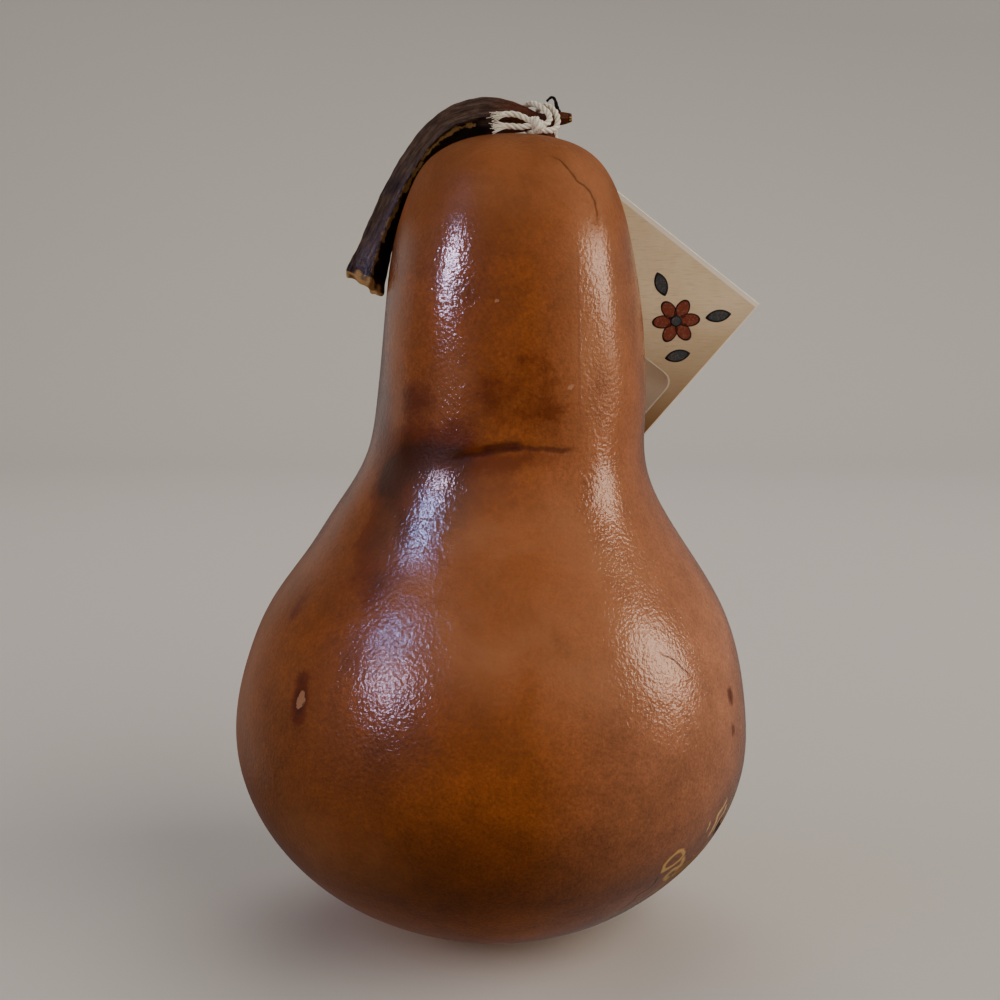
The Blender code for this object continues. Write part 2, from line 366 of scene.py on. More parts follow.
@dataclass(frozen=True)
class Line:
    """A thin mark on the rind through a few places, each an angle from the front and a height.

    sway is how far its edges wander, fade how long its ends take to die out, strength how strongly
    it colours the rind and carve how deep it looks. radius is the rind's own where the line runs.
    """

    name: str
    colour: str
    half_width: float
    strength: float
    carve: float
    radius: float
    places: Rows
    sway: float = 0.9
    fade: float = 3.0

    def points(self) -> Array:
        """Its places on the rind unrolled at its radius, in millimetres."""
        turns, heights = np.array(self.places).T
        return np.stack([np.radians(turns) * self.radius, heights], axis=1)

    @property
    def length(self) -> float:
        """Its length on the unrolled rind."""
        return path_length(self.points())

    def measure(self, angle: Array, height: Array) -> Array:
        """Distances from the line at places on the unrolled rind.

        Of the line's spans the nearest counts, and the first and the last run on past its ends for
        the distance across, whose sign is the side.

        Args:
            angle: the angle from the front, in degrees.
            height: the height in millimetres.

        Returns:
            The distance across the line, the distance along it and the distance to its nearest point.
        """
        points = self.points()
        at = np.stack([np.radians(angle) * self.radius, height], axis=-1)
        found = np.full((*height.shape, 3), 1e6)
        run = 0.0
        last = len(points) - 2
        for number, (start, end) in enumerate(zip(points, points[1:])):
            span = float(np.linalg.norm(end - start))
            way = (end - start) / span
            offset = at - start
            along = offset @ way
            side = offset[..., 1] * way[0] - offset[..., 0] * way[1]
            held = np.clip(along, 0, span)
            low = -np.inf if number == 0 else 0
            high = np.inf if number == last else span
            past = np.clip(along, low, high)
            apart = np.hypot(along - held, side)
            across = np.sign(side) * np.hypot(along - past, side)
            nearer = apart < found[..., 2]
            found[nearer] = np.stack([across, run + past, apart], axis=-1)[nearer]
            run += span
        return found


class RindMark(Enum):
    """The thin marks on the rind."""

    CRACK = Line(
        "crown_crack", "#42200E", 0.26, 0.6, 0.5, 19.0,
        ((22.4, 140.7), (30.0, 140.0), (33.8, 138.0), (35.5, 136.5), (40.1, 135.7), (43.2, 134.5),
         (44.1, 132.2), (43.8, 130.0), (40.9, 128.7)),
    )
    # The crease's dark lines are painted shade along the fold at the neck's foot.
    CREASE = Line(
        "fold_crease_shade", "#40180A", 0.5, 0.65, 0.4, 24.7,
        ((-25.4, 89.8), (-18.7, 90.6), (-12.5, 91.3), (6.2, 92.4), (14.4, 92.0), (22.7, 91.7), (29.6, 92.0)),
    )
    CREASE_HEART = Line(
        "fold_heart_shade", "#401405", 0.95, 0.8, 0.4, 24.7,
        ((-12.5, 91.4), (-9.1, 92.2), (-4.0, 92.7), (2.1, 92.7), (6.2, 92.4)), fade=1.5,
    )
    RIDGE = Line(
        "ridge_line", "#7A4630", 0.35, 0.4, -0.3, 23.6,
        ((30.9, 128.7), (29.1, 116.9), (28.6, 106.9), (28.7, 100.2), (30.1, 91.9)), fade=8.0,
    )
    SCRATCH = Line("scratch", "#4A1D0C", 0.15, 0.75, 0.8, 43.0, ((40.0, 59.4), (45.0, 57.4), (51.0, 53.0)))
    PEEL_RING = Line(
        "peel_ring", "#D0A058", 0.5, 0.95, -0.9, 42.3,
        ((45.2, 20.2), (47.5, 20.5), (49.7, 21.2), (50.1, 22.2), (48.4, 23.4), (46.5, 23.7), (44.5, 23.0),
         (43.4, 21.5), (44.2, 20.0), (45.2, 20.2)), sway=0.7, fade=0.01,
    )
    PEEL_CURL = Line(
        "peel_curl", "#D0A058", 0.6, 0.95, -0.8, 41.0,
        ((50.3, 21.6), (52.6, 20.0), (52.6, 18.9), (49.7, 19.1), (48.4, 18.6), (48.0, 17.8), (51.4, 16.4),
         (56.5, 17.7)), sway=1.1, fade=0.5,
    )
    PEEL_EDGE = Line(
        "peel_edge", "#5A300C", 0.2, 0.85, 0.9, 38.5,
        ((43.6, 19.6), (44.5, 17.0), (43.2, 15.9), (40.6, 15.5), (41.0, 13.5), (38.0, 11.5)), fade=1.5,
    )
    FLAKE_LONG = Line(
        "flake_long", "#DDB474", 0.5, 1.0, -0.6, 44.5,
        ((64.9, 29.8), (63.7, 28.4), (60.8, 27.4), (61.3, 25.5), (60.6, 24.1), (59.8, 23.0)), fade=0.8,
    )
    FLAKE_SHORT = Line(
        "flake_short", "#DDB474", 0.45, 1.0, -0.6, 44.5,
        ((65.7, 28.4), (66.2, 26.4), (63.9, 26.0), (62.2, 23.6)), fade=0.5,
    )
    FLAKE_TICK = Line(
        "flake_tick", "#DDB474", 0.3, 0.95, -0.4, 44.5,
        ((56.7, 27.4), (57.2, 26.2), (56.8, 25.0)), sway=0.6, fade=0.6,
    )
    BACK_CRACK = Line(
        "back_crack", "#2A0D05", 0.2, 0.75, 0.9, 28.0,
        ((143.0, 71.0), (150.0, 76.5), (152.0, 82.0), (160.0, 88.0), (163.0, 95.0)),
    )


@dataclass(frozen=True)
class WaxedRind:
    """Bottle gourd rind, dried, dyed and waxed.

    The rind is hard and woody with a fine pebbled skin. The dye soaks in unevenly, the crease at the
    neck's foot carries painted shade, and the wax over it breaks up a bright highlight into fine sparks
    with a soft haze round it.
    """

    brown: str = "#7A3E10"
    orange: str = "#884715"
    # Painted shade down the left side, and painted light and sheen down the right side.
    painted_shade_left: str = "#744016"
    painted_light_right: str = "#BE8262"
    deep: str = "#2C1000"
    red_brown: str = "#5A2200"
    # The hazy wax, also used as painted sheen on the lit neck and belly.
    hazy_wax_and_sheen: str = "#A06844"
    ochre: str = "#D2A055"
    bare_wood: str = "#94682E"
    fleck: str = "#A67456"
    # Two heights in millimetres, and how light the dye is painted up to the first and from the second on:
    # painted light at the base, painted shade low on the belly and at the crown.
    painted_light_and_shade: Rows = ((0, 18, 3.6, 1.0), (24, 54, 0.62, 1.0), (112, 142, 1.0, 0.67))
    # The grain's sizes in millimetres and strengths.
    grains: Rows = ((11.0, 0.7), (4.0, 0.6), (0.8, 0.65), (0.4, 0.6))
    # The relief's sizes and depths in millimetres: soft pits, and the pebbled skin.
    pits: Rows = ((4.0, 0.08), (0.66, 0.11), (0.32, 0.03))

    def tint(self, paint: Paint, place: Socket) -> tuple[Socket, Socket]:
        """The dye: clouds 25 mm across and a fine grain, with painted shade to the left and painted
        light and sheen to the right.

        Painted shade darkens the crown and a band low on the belly, and painted light brightens the base.

        Args:
            paint: the material.
            place: the Object coordinates.

        Returns:
            The colour and the clouds.
        """
        noise = {"Vector": place, "Scale": every(25), "Detail": 5.0, "Distortion": 0.4}
        clouds = paint.node("TexNoise", noise)
        colour = paint.node("ValToRGB", {0: clouds}, stops=((0.36, self.brown), (0.64, self.orange)))
        x, z = (paint.node("SeparateXYZ", {0: place}, out=number) for number in (0, 2))
        # Painted light and sheen to the right, painted shade to the left.
        for start, end, side in ((6, 44, self.painted_light_right), (-4, -36, self.painted_shade_left)):
            share = {"Value": x, "From Min": start * MM, "From Max": end * MM, "To Max": 0.7}
            share = paint.node("MapRange", share)
            colour = paint.node("Mix", {SHARE: share, LOW: colour, HIGH: linear(side)}, **BLEND)
        # Painted light at the base and painted shade low on the belly and at the crown, then the grain.
        shade = 1.0
        for start, end, first, last in self.painted_light_and_shade:
            part = {"Value": z, "From Min": start * MM, "From Max": end * MM}
            part |= {"To Min": first, "To Max": last}
            shade = paint.node("Math", {0: shade, 1: paint.node("MapRange", part)}, operation="MULTIPLY")
        for size, amount in self.grains:
            grain = paint.node("TexNoise", {"Vector": place, "Scale": every(size), "Detail": 3.0})
            factor = paint.node("Math", {0: grain, 1: amount, 2: 1 - amount / 2}, operation="MULTIPLY_ADD")
            shade = paint.node("Math", {0: shade, 1: factor}, operation="MULTIPLY")
        return paint.node("HueSaturation", {"Color": colour, "Value": shade}), clouds

    def stained(self, paint: Paint, place: Socket, colour: Socket) -> Socket:
        """Adds the dark stains, whose edges noise makes ragged, and over them the hazy wax and painted sheen.
        """
        stain = paint.node("Attribute", out="Fac", attribute_name="stain")
        ragged = {"Vector": place, "Scale": every(4.0), "Detail": 8.0, "Roughness": 0.7}
        ragged = paint.node("TexNoise", ragged)
        offset = paint.node("Math", {0: ragged, 1: 1.45, 2: -0.725}, operation="MULTIPLY_ADD")
        level = paint.node("Math", {0: stain, 1: offset}, operation="ADD")
        for start, end, most, dye in ((0.14, 0.5, 0.85, self.red_brown), (0.6, 1.15, 0.88, self.deep)):
            share = {"Value": level, "From Min": start, "From Max": end, "To Max": most}
            share = paint.node("MapRange", share)
            colour = paint.node("Mix", {SHARE: share, LOW: colour, HIGH: linear(dye)}, **BLEND)
        # Hazy wax and painted sheen.
        haze = paint.node("Attribute", out="Fac", attribute_name="hazy_wax_and_sheen")
        noise = {"Vector": place, "Scale": every(14), "Detail": 8.0, "Roughness": 0.62, "Distortion": 0.5}
        broken = paint.node("TexNoise", noise)
        uneven = {"Value": broken, "From Min": 0.38, "From Max": 0.62, "To Min": 0.6, "To Max": 1.3}
        haze = paint.node("Math", {0: haze, 1: paint.node("MapRange", uneven)}, operation="MULTIPLY")
        return paint.node("Mix", {SHARE: haze, LOW: colour, HIGH: linear(self.hazy_wax_and_sheen)}, **BLEND)

    def lined(self, paint: Paint, place: Socket, colour: Socket) -> tuple[Socket, Socket]:
        """Adds the thin marks, each where its distance across, swayed by noise, is small.

        Args:
            paint: the material.
            place: the Object coordinates.
            colour: the colour under the marks.

        Returns:
            The colour, and how deep the marks are cut.
        """
        wobble = paint.node("TexNoise", {"Vector": place, "Scale": every(2.2), "Detail": 4.0})
        sway = paint.node("Math", {0: wobble, 1: 0.5}, operation="SUBTRACT")
        depth = 0.0
        for mark in RindMark:
            line = mark.value
            at = paint.node("Attribute", out="Vector", attribute_name=line.name)
            across, along, apart = (paint.node("SeparateXYZ", {0: at}, out=number) for number in range(3))
            swayed = paint.node("Math", {0: sway, 1: line.sway, 2: across}, operation="MULTIPLY_ADD")
            off = paint.node("Math", {0: swayed}, operation="ABSOLUTE")
            core, edge = line.half_width * 0.4, line.half_width * 1.2
            cover = {"Value": off, "From Min": core, "From Max": edge, "To Min": line.strength, "To Max": 0.0}
            cover = paint.node("MapRange", cover)
            end = line.length
            limits = (
                (along, 0.0, line.fade, 0.0, 1.0),
                (along, end - line.fade, end, 1.0, 0.0),
                (apart, 2.0, 3.0, 1.0, 0.0),
            )
            for value, low, high, first, second in limits:
                share = {"Value": value, "From Min": low, "From Max": high, "To Min": first, "To Max": second}
                share = paint.node("MapRange", share)
                cover = paint.node("Math", {0: cover, 1: share}, operation="MULTIPLY")
            colour = paint.node("Mix", {SHARE: cover, LOW: colour, HIGH: linear(line.colour)}, **BLEND)
            depth = paint.node("Math", {0: cover, 1: line.carve, 2: depth}, operation="MULTIPLY_ADD")
        return colour, depth

    def peeled(self, paint: Paint, place: Socket, colour: Socket) -> tuple[Socket, Socket]:
        """Adds flaked skin, bare wood with a pale curled line round it, and small pale chips.

        Args:
            paint: the material.
            place: the Object coordinates.
            colour: the colour under the flakes.

        Returns:
            The colour, and the flakes' edges.
        """
        peel = paint.node("Attribute", out="Fac", attribute_name="peel")
        noise = {"Vector": place, "Scale": every(3.0), "Detail": 5.0, "Roughness": 0.6, "Distortion": 1.2}
        flake = paint.node("TexNoise", noise)
        flake = paint.node("Math", {0: flake, 1: 1.6, 2: peel}, operation="MULTIPLY_ADD")
        level = paint.node("Math", {0: flake, 1: 1.42}, operation="SUBTRACT")
        inside = paint.node("MapRange", {"Value": level, "From Min": 0.0, "From Max": 0.06, "To Max": 0.8})
        off = paint.node("Math", {0: level}, operation="ABSOLUTE")
        rim = {"Value": off, "From Min": 0.015, "From Max": 0.06, "To Min": 0.6, "To Max": 0.0}
        there = paint.node("MapRange", {"Value": peel, "From Min": 0.05, "From Max": 0.3})
        edge = paint.node("Math", {0: paint.node("MapRange", rim), 1: there}, operation="MULTIPLY")
        pale = paint.node("Attribute", out="Fac", attribute_name="pale")
        chip = paint.node("TexNoise", {"Vector": place, "Scale": every(0.9), "Detail": 3.0})
        pale = paint.node("Math", {0: chip, 1: 0.5, 2: pale}, operation="MULTIPLY_ADD")
        pale = paint.node("MapRange", {"Value": pale, "From Min": 0.52, "From Max": 0.62, "To Max": 0.85})
        for share, wood in ((inside, self.bare_wood), (edge, self.ochre), (pale, self.fleck)):
            colour = paint.node("Mix", {SHARE: share, LOW: colour, HIGH: linear(wood)}, **BLEND)
        return colour, edge

    def make(self) -> bpy.types.Material:
        """Builds the material on Object coordinates and the rind's own marks."""
        paint = Paint("dyed_waxed_gourd_rind")
        place = paint.node("TexCoord", out="Object")
        colour, clouds = self.tint(paint, place)
        colour = self.stained(paint, place, colour)
        colour, depth = self.lined(paint, place, colour)
        colour, edge = self.peeled(paint, place, colour)

        # The wax is worn to satin in places, and dull on the flakes' edges.
        gloss = {"Value": clouds, "From Min": 0.3, "From Max": 0.7, "To Min": 0.42, "To Max": 0.54}
        gloss = paint.node("MapRange", gloss)
        rough = paint.node("Math", {0: edge, 1: 0.3, 2: gloss}, operation="MULTIPLY_ADD")

        # The wax thins down the left side, stays thick down the right, and is rubbed off the dull spots.
        x, z = (paint.node("SeparateXYZ", {0: place}, out=number) for number in (0, 2))
        sides = []
        for start, end, low, high in ((60, 85, 0.28, 1.0), (60, 100, 0.9, 0.85)):
            climb = {"Value": z, "From Min": start * MM, "From Max": end * MM}
            climb |= {"To Min": low, "To Max": high}
            sides.append(paint.node("MapRange", climb))
        turn = paint.node("MapRange", {"Value": x, "From Min": -2 * MM, "From Max": 20 * MM})
        wax = paint.node("Mix", {0: turn, 2: sides[0], 3: sides[1]})
        dull = paint.node("Attribute", out="Fac", attribute_name="dull")
        bright = paint.node("Math", {0: 1.0, 1: dull}, operation="SUBTRACT")
        wax = paint.node("Math", {0: wax, 1: bright}, operation="MULTIPLY")

        normal = None
        for size, deep in self.pits:
            height = paint.node("TexNoise", {"Vector": place, "Scale": every(size), "Detail": 2.0})
            relief = {"Strength": 1.0, "Distance": deep * MM, "Height": height}
            normal = paint.node("Bump", relief if normal is None else {**relief, "Normal": normal})
        cut = {"Strength": 0.8, "Distance": 0.2 * MM, "Height": depth, "Normal": normal}
        normal = paint.node("Bump", cut, invert=True)
        lifted = {"Strength": 0.6, "Distance": 0.15 * MM, "Height": edge, "Normal": normal}
        normal = paint.node("Bump", lifted)
        return paint.finish({
            "Base Color": colour, "Roughness": rough, "Specular IOR Level": 0.05, "Coat Weight": wax,
            "Coat Roughness": 0.1, "Coat IOR": 1.44, "Normal": normal, "Coat Normal": normal,
        })


@dataclass
class Rind:
    """The gourd: a turned outline on a leaning centre line, with low relief. Sizes in millimetres."""

    # Height, radius and sideways place of the centre, from the flat spot's edge to the crown.
    stations: tuple[Point, ...] = (
        (0.0, 11.0, 0.0), (2.9, 20.3, 0.0), (8.0, 30.0, 0.0), (15.0, 38.0, -0.1), (23.0, 43.6, -0.2),
        (32.5, 46.5, -0.4), (42.0, 46.5, -0.4), (52.0, 44.5, 0.0), (61.0, 40.9, 0.4), (70.0, 34.9, 1.0),
        (78.0, 29.7, 1.1), (83.0, 26.9, 1.6), (88.0, 25.1, 2.3), (97.0, 24.2, 3.2), (107.0, 23.5, 3.4),
        (117.0, 22.5, 3.5), (126.0, 21.0, 3.6), (134.0, 18.6, 3.8), (139.9, 15.2, 3.8), (143.4, 9.6, 3.9),
        (144.8, 0.0, 3.9),
    )
    rings: int = 276
    flat_rings: int = 12
    sides: int = 320
    flat_radius: float = 11.0
    rib_count: int = 5
    rib_height: float = 0.25
    rib_turn: float = math.radians(20)
    neck: Pair = (62.0, 96.0)
    flat_depth: float = 0.5
    flat_half_angle: float = 0.5
    root: Pair = (8.8, 3.0)
    dimple: Pair = (0.9, 3.6)

    # Dark stains: angle from the front in degrees, height, half width, half height, strength.
    stains: Rows = (
        (-52, 86.3, 2.6, 2.6, 1.3), (-41, 91.5, 6.3, 3.6, 0.9), (-44, 99.5, 4.5, 3.0, 0.65),
        (-48, 86.0, 5.0, 5.0, 0.8), (-43, 77.0, 4.5, 7.0, 0.75), (-22, 91.5, 4.5, 2.2, 0.6),
        (0, 102, 10, 6, 0.15), (8, 98, 6, 3, 0.2), (-9, 101, 4, 4, 0.24), (15, 105, 3, 5, 0.17),
        (38, 102, 3.5, 7, 0.3), (-27, 88.0, 8.0, 3.2, 0.7), (-18, 81.5, 4.0, 6.0, 0.85),
        (-33, 74.0, 4.0, 4.5, 0.4), (-28, 80.0, 7.0, 6.0, 0.65), (-35, 69.5, 3.0, 3.5, 0.5),
        (-21, 95.0, 4.0, 2.5, 0.4), (18, 97.0, 3.5, 3.0, 0.32), (-2, 86.0, 4.0, 4.0, 0.3),
        (-13, 79.0, 4.0, 5.0, 0.2), (12, 83.0, 5.0, 3.0, 0.22), (4, 90.6, 9.0, 1.6, 0.4),
        (35, 82.0, 3.0, 8.0, 0.25), (37, 72.0, 5.0, 5.0, 0.25), (-61.5, 64.0, 2.5, 3.5, 0.5),
        (4, 107.1, 4.0, 3.8, 0.4), (4, 107.1, 2.7, 2.6, -0.5), (4, 107.1, 1.2, 1.2, 0.4),
        (-76, 101, 6, 9, 0.4), (65, 48.3, 1.1, 1.5, 0.8), (64.6, 42.2, 1.0, 1.1, 0.7),
        (68.0, 23.4, 1.2, 1.4, 2.0), (-66, 93, 5, 7, 0.5), (-46, 50.8, 1.6, 2.7, 1.3),
        (-47.5, 54.0, 1.5, 1.2, 0.6), (-45.5, 47.6, 1.4, 1.1, 0.5), (100, 88, 7, 4, 0.7),
        (150, 84, 9, 5, 0.5), (-140, 60, 7, 9, 0.3), (170, 34, 12, 8, 0.3), (-110, 36, 5, 6, 0.3),
        (-165, 112, 7, 8, 0.3), (120, 130, 6, 4, 0.4),
    )
    # Places where the wax dried hazy, and places of painted sheen on the lit neck and belly, in the same
    # form.
    hazy_wax_and_sheen_spots: Rows = (
        (40, 122, 6, 8, 0.65), (40, 108, 6, 9, 0.65), (35, 98, 3.2, 7, 0.4), (0, 138, 30, 10, 0.5),
        (0, 77, 22, 11, 0.45), (-62, 112, 3.5, 8, 0.35), (-57, 99, 3.0, 6, 0.3), (-25, 105, 3.6, 7, 0.3),
        (-120, 118, 5, 9, 0.3), (140, 50, 12, 10, 0.25), (12, 63, 20, 12, 0.45), (32, 66, 14, 14, 0.4),
        (-6, 67, 12, 10, 0.35), (-84, 48, 12, 18, 0.45), (-40, 26, 14, 9, 0.35), (48, 134, 8, 7, 0.3),
    )
    # Flaked places, in the same form.
    flakes: Rows = (
        (62, 16.5, 7.5, 5.0, 1.2), (50, 10, 9, 3, 1.1), (72, 25, 3, 6, 1.0), (-150, 22, 5, 3, 0.9),
    )
    # Places where the wax is rubbed dull, in the same form.
    dull_spots: Rows = (
        (-20, 91, 7, 4.2, 1.0), (-40, 92, 7, 4, 0.9), (-24, 70.2, 12, 5.4, 0.97), (-26, 106, 7, 10, 0.97),
        (-52, 80, 9, 10, 0.8), (-50, 62, 8, 6, 0.7), (40, 104, 8, 12, 0.8), (62, 17, 10, 6, 0.8),
    )
    # Pale chips, in the same form.
    pale_spots: Rows = (
        (-26.2, 47.6, 0.6, 0.3, 0.9), (-7.4, 117, 0.3, 0.4, 0.9), (24.4, 102.4, 0.5, 0.3, 0.9),
        (-31, 111, 0.3, 0.3, 0.7), (-46, 50.8, 0.8, 1.5, 1.0), (12, 70, 0.3, 0.25, 0.6),
    )
    # The scar's raised edge and hollow, and a pit, in the same form, the strength in millimetres.
    dents: Rows = ((-46, 50.8, 3.2, 3.4, 0.16), (-46, 50.8, 1.5, 1.7, -0.4), (66.2, 24, 1.1, 1.4, -0.7))
    # The heights over which the crown turns dull.
    dull_crown: Pair = (123, 132)

    def outline(self) -> Array:
        """The turned outline from the flat spot's edge to the crown: height, radius, centre."""
        up = np.array(self.stations)
        whole = np.vstack([up, up[-2::-1] * (1, -1, 1)])
        fine = spline(whole, 2 * 4 * self.rings + 1)[: 4 * self.rings + 1]
        fine[-1, 1] = 0
        return even_steps(fine, self.rings + 1)[:-1]

    def spot(self, place: tuple[float, ...], angle: Array, height: Array, radius: Array) -> Array:
        """One soft spot: strength * exp(-(across / half width)^2 - (up / half height)^2).

        Args:
            place: its angle, height, half width, half height and strength.
            angle: the angle of each grid point from the front, in degrees.
            height: its height.
            radius: its distance from the centre line.

        Returns:
            The spot's strength at each point.
        """
        turn, up, wide, high, strength = place
        apart = (angle - turn + 180) % 360 - 180
        return strength * bump(np.radians(apart) * radius, 0, wide) * bump(height, up, high)

    def turned_relief(self, angle: Array, height: Array) -> Array:
        """Five soft ribs, and a flatter face at the front, that fade out below the neck.

        The height is rib * cos(5 * (turn - rib turn)) - flat * exp(-(from the front / half angle)^2).
        """
        neck = smooth_step(height, *self.neck)
        turn = angle + FRONT
        ribs = self.rib_height * neck * np.cos(self.rib_count * (turn - self.rib_turn))
        front = (angle + math.pi) % (2 * math.pi) - math.pi
        return ribs - self.flat_depth * neck * bump(front, 0, self.flat_half_angle)

    def grown_relief(self, degrees: Array, height: Array, radius: Array) -> Array:
        """Flutes, folds and lumps: sums of smooth hills and hollows, and three slow sine waves.

        Args:
            degrees: the angle from the front.
            height: the height of each point.
            radius: its distance from the centre line.

        Returns:
            How far the rind stands out, in millimetres.
        """
        angle = np.radians(degrees)
        lumps = 0.16 * np.sin(3 * angle + 0.09 * height + 0.4)
        lumps += 0.11 * np.sin(5 * angle - 0.12 * height + 1.3) + 0.05 * np.sin(9 * angle + 0.23 * height)
        flutes = 0.07 * bump(degrees, 27, 4) - 0.12 * bump(degrees, 37, 8) + 0.06 * bump(degrees, 50, 8)
        flutes = window(height, 98, 126, 8) * (flutes - 0.08 * bump(degrees, -42, 7))
        crease = RindMark.CREASE.value
        across, along = np.moveaxis(crease.measure(degrees, height), -1, 0)[:2]
        fold = 0.12 * bump(across, 1.9, 1.6) - 0.24 * bump(across, 0, 0.8) - 0.05 * bump(across, -3, 2.5)
        fold *= window(along, 4, crease.length - 4, 4)
        crack = RindMark.CRACK.value
        across, along, apart = np.moveaxis(crack.measure(degrees, height), -1, 0)
        step = 0.12 * np.tanh(across / 0.8) * bump(apart, 0, 4) - 0.16 * bump(apart, 0, 0.6)
        step *= window(along, 2, crack.length - 2, 3)
        dents = sum(self.spot(place, degrees, height, radius) for place in self.dents)
        return lumps + flutes + fold + step + dents

    def build(self) -> list[bpy.types.Object]:
        """Turns the outline, adds the relief and the marks, and dresses the rind."""
        flat = np.linspace(0.6, self.flat_radius, self.flat_rings, endpoint=False)
        rows = np.vstack([np.stack([0 * flat, flat, 0 * flat], axis=1), self.outline()])
        turns = np.linspace(0, 2 * math.pi, self.sides, endpoint=False)
        angle = np.broadcast_to(turns, (len(rows), self.sides))
        height, radius, centre = (np.repeat(rows[:, i : i + 1], self.sides, axis=1) for i in range(3))
        degrees = (np.degrees(angle) + 180) % 360 - 180
        relief = self.turned_relief(angle, height) + self.grown_relief(degrees, height, radius)
        moved = radius + smooth_step(height, 1.0, 7.0) * smooth_step(radius, 1.0, 9.0) * relief
        x = moved * np.sin(angle) + centre
        y = -moved * np.cos(angle)
        from_root = np.hypot(x - self.root[0], y - self.root[1])
        crown = smooth_step(height, self.neck[1], self.neck[1] + 20)
        underside = 1 - smooth_step(height, 0.0, 0.5)
        blossom_end = underside * (bump(radius, 2.6, 1.2) * 0.55 + bump(radius, 0, 1.4) * 0.2)
        z = height - self.dimple[0] * crown * bump(from_root, 0, self.dimple[1]) + blossom_end

        # Each mark's spots, what else it has, and the most that it reaches.
        stained = crown * 0.7 * bump(from_root, 0, 3.4) + 0.9 * underside * bump(radius, 1.5, 2.2)
        kinds = {
            "stain": (self.stains, stained, 1.3),
            "hazy_wax_and_sheen": (self.hazy_wax_and_sheen_spots, 0, 0.6),
            "peel": (self.flakes, 0, 1.3),
            "dull": (self.dull_spots, smooth_step(height, *self.dull_crown), 1.0),
            "pale": (self.pale_spots, 0, 1.0),
        }
        wide = np.maximum(radius, 4)
        marks = {}
        for name, (places, more, most) in kinds.items():
            spots = np.clip(sum(self.spot(place, degrees, height, wide) for place in places), 0, 1.3)
            marks[name] = [np.clip(spots + more, 0, most)]
        for mark in RindMark:
            marks[mark.value.name] = [mark.value.measure(degrees, height)]
        piece = closed_mesh("gourd_rind", [np.stack([x, y, z], axis=-1)], marks)
        piece.data.materials.append(WaxedRind().make())
        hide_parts("gourd")
        return [piece]


# The stem


@dataclass(frozen=True)
class WoodyStem:
    """Dried gourd stem: a corky, ridged vine stalk, dyed nearly black with the gourd and waxed.

    Its faces are matt and grey-brown, and the lower right face and the underside near-black, partly dark
    bark and partly painted shade. The ridges are rubbed, so they catch bluish glints and show tan flecks
    of bare wood beside them. The cut end's tan rim is lightened by a painted highlight.
    """

    brown: str = "#4C3828"
    black: str = "#140A05"
    grey: str = "#7C6752"
    red_brown: str = "#5C2A17"
    tan: str = "#A07C4A"
    # The cut end's tan, lightened by a painted highlight on its rim.
    cut: str = "#B48C54"
    pith: str = "#2E1D12"

    def make(self) -> bpy.types.Material:
        """Builds the material on the stem's own grain, ridge, side, end and root marks."""
        paint = Paint("dried_waxed_vine_stalk")
        place = paint.node("TexCoord", out="Object")
        grain = paint.node("Attribute", out="Vector", attribute_name="grain")
        names = ("ridge", "dark_bark_and_shade", "cut_face", "near_root", "rubbed", "waxed")
        ridge, side, face, near, rubbed, wax = (
            paint.node("Attribute", out="Fac", attribute_name=name) for name in names
        )

        # Fibres about 0.4 mm wide and eight times as long, and blotches 4 mm across.
        fibre = paint.node("TexNoise", {"Vector": grain, "Scale": 2.4, "Detail": 6.0, "Roughness": 0.7})
        blotch = paint.node("TexNoise", {"Vector": place, "Scale": every(4), "Detail": 4.0, "Roughness": 0.6})
        stops = ((0.3, self.black), (0.75, self.grey), (0.5, self.brown))
        colour = paint.node("ValToRGB", {0: fibre}, stops=stops)
        dark = paint.node("MapRange", {"Value": blotch, "From Min": 0.45, "From Max": 0.7, "To Max": 0.6})
        # Near-black on the lower face and the underside: partly dark bark, partly painted shade.
        dark = paint.node("Math", {0: dark, 1: side}, operation="ADD", use_clamp=True)
        rub = paint.node("TexNoise", {"Vector": place, "Scale": every(1.5), "Detail": 6.0, "Roughness": 0.7})
        worn = paint.node("Math", {0: rubbed, 1: 0.3, 2: rub}, operation="MULTIPLY_ADD")
        worn = paint.node("MapRange", {"Value": worn, "From Min": 0.71, "From Max": 0.76, "To Max": 0.85})
        for share, bark in ((dark, self.black), (near, self.red_brown), (worn, self.tan)):
            colour = paint.node("Mix", {SHARE: share, LOW: colour, HIGH: linear(bark)}, **BLEND)
        # The cut end: dark pith and tan wood, its rim lightened by a painted highlight.
        stops = ((0.0, self.pith), (1.0, self.cut), (0.5, self.pith), (0.75, self.cut))
        end = paint.node("ValToRGB", {0: face}, stops=stops)
        on_end = paint.node("MapRange", {"Value": face, "From Min": 0.02, "From Max": 0.3})
        colour = paint.node("Mix", {SHARE: on_end, LOW: colour, HIGH: end}, **BLEND)

        # The faces stay matt, and the wax on the ridges shines.
        rough = {"Value": fibre, "From Min": 0.3, "From Max": 0.7, "To Min": 0.5, "To Max": 0.68}
        rough = paint.node("MapRange", rough)
        shine = paint.node("Math", {0: ridge, 1: -0.3, 2: rough}, operation="MULTIPLY_ADD")
        pebbles = paint.node("TexNoise", {"Vector": place, "Scale": every(1.3), "Detail": 3.0})
        fine = paint.node("Bump", {"Strength": 1.0, "Distance": 0.4 * MM, "Height": fibre})
        for height, deep in ((rub, 0.3), (pebbles, 0.25)):
            relief = {"Strength": 1.0, "Distance": deep * MM, "Height": height, "Normal": fine}
            fine = paint.node("Bump", relief)
        return paint.finish({
            "Base Color": colour, "Roughness": shine, "Specular IOR Level": 0.06, "Coat Weight": wax,
            "Coat Roughness": 0.06, "Normal": fine, "Coat Normal": fine,
        })


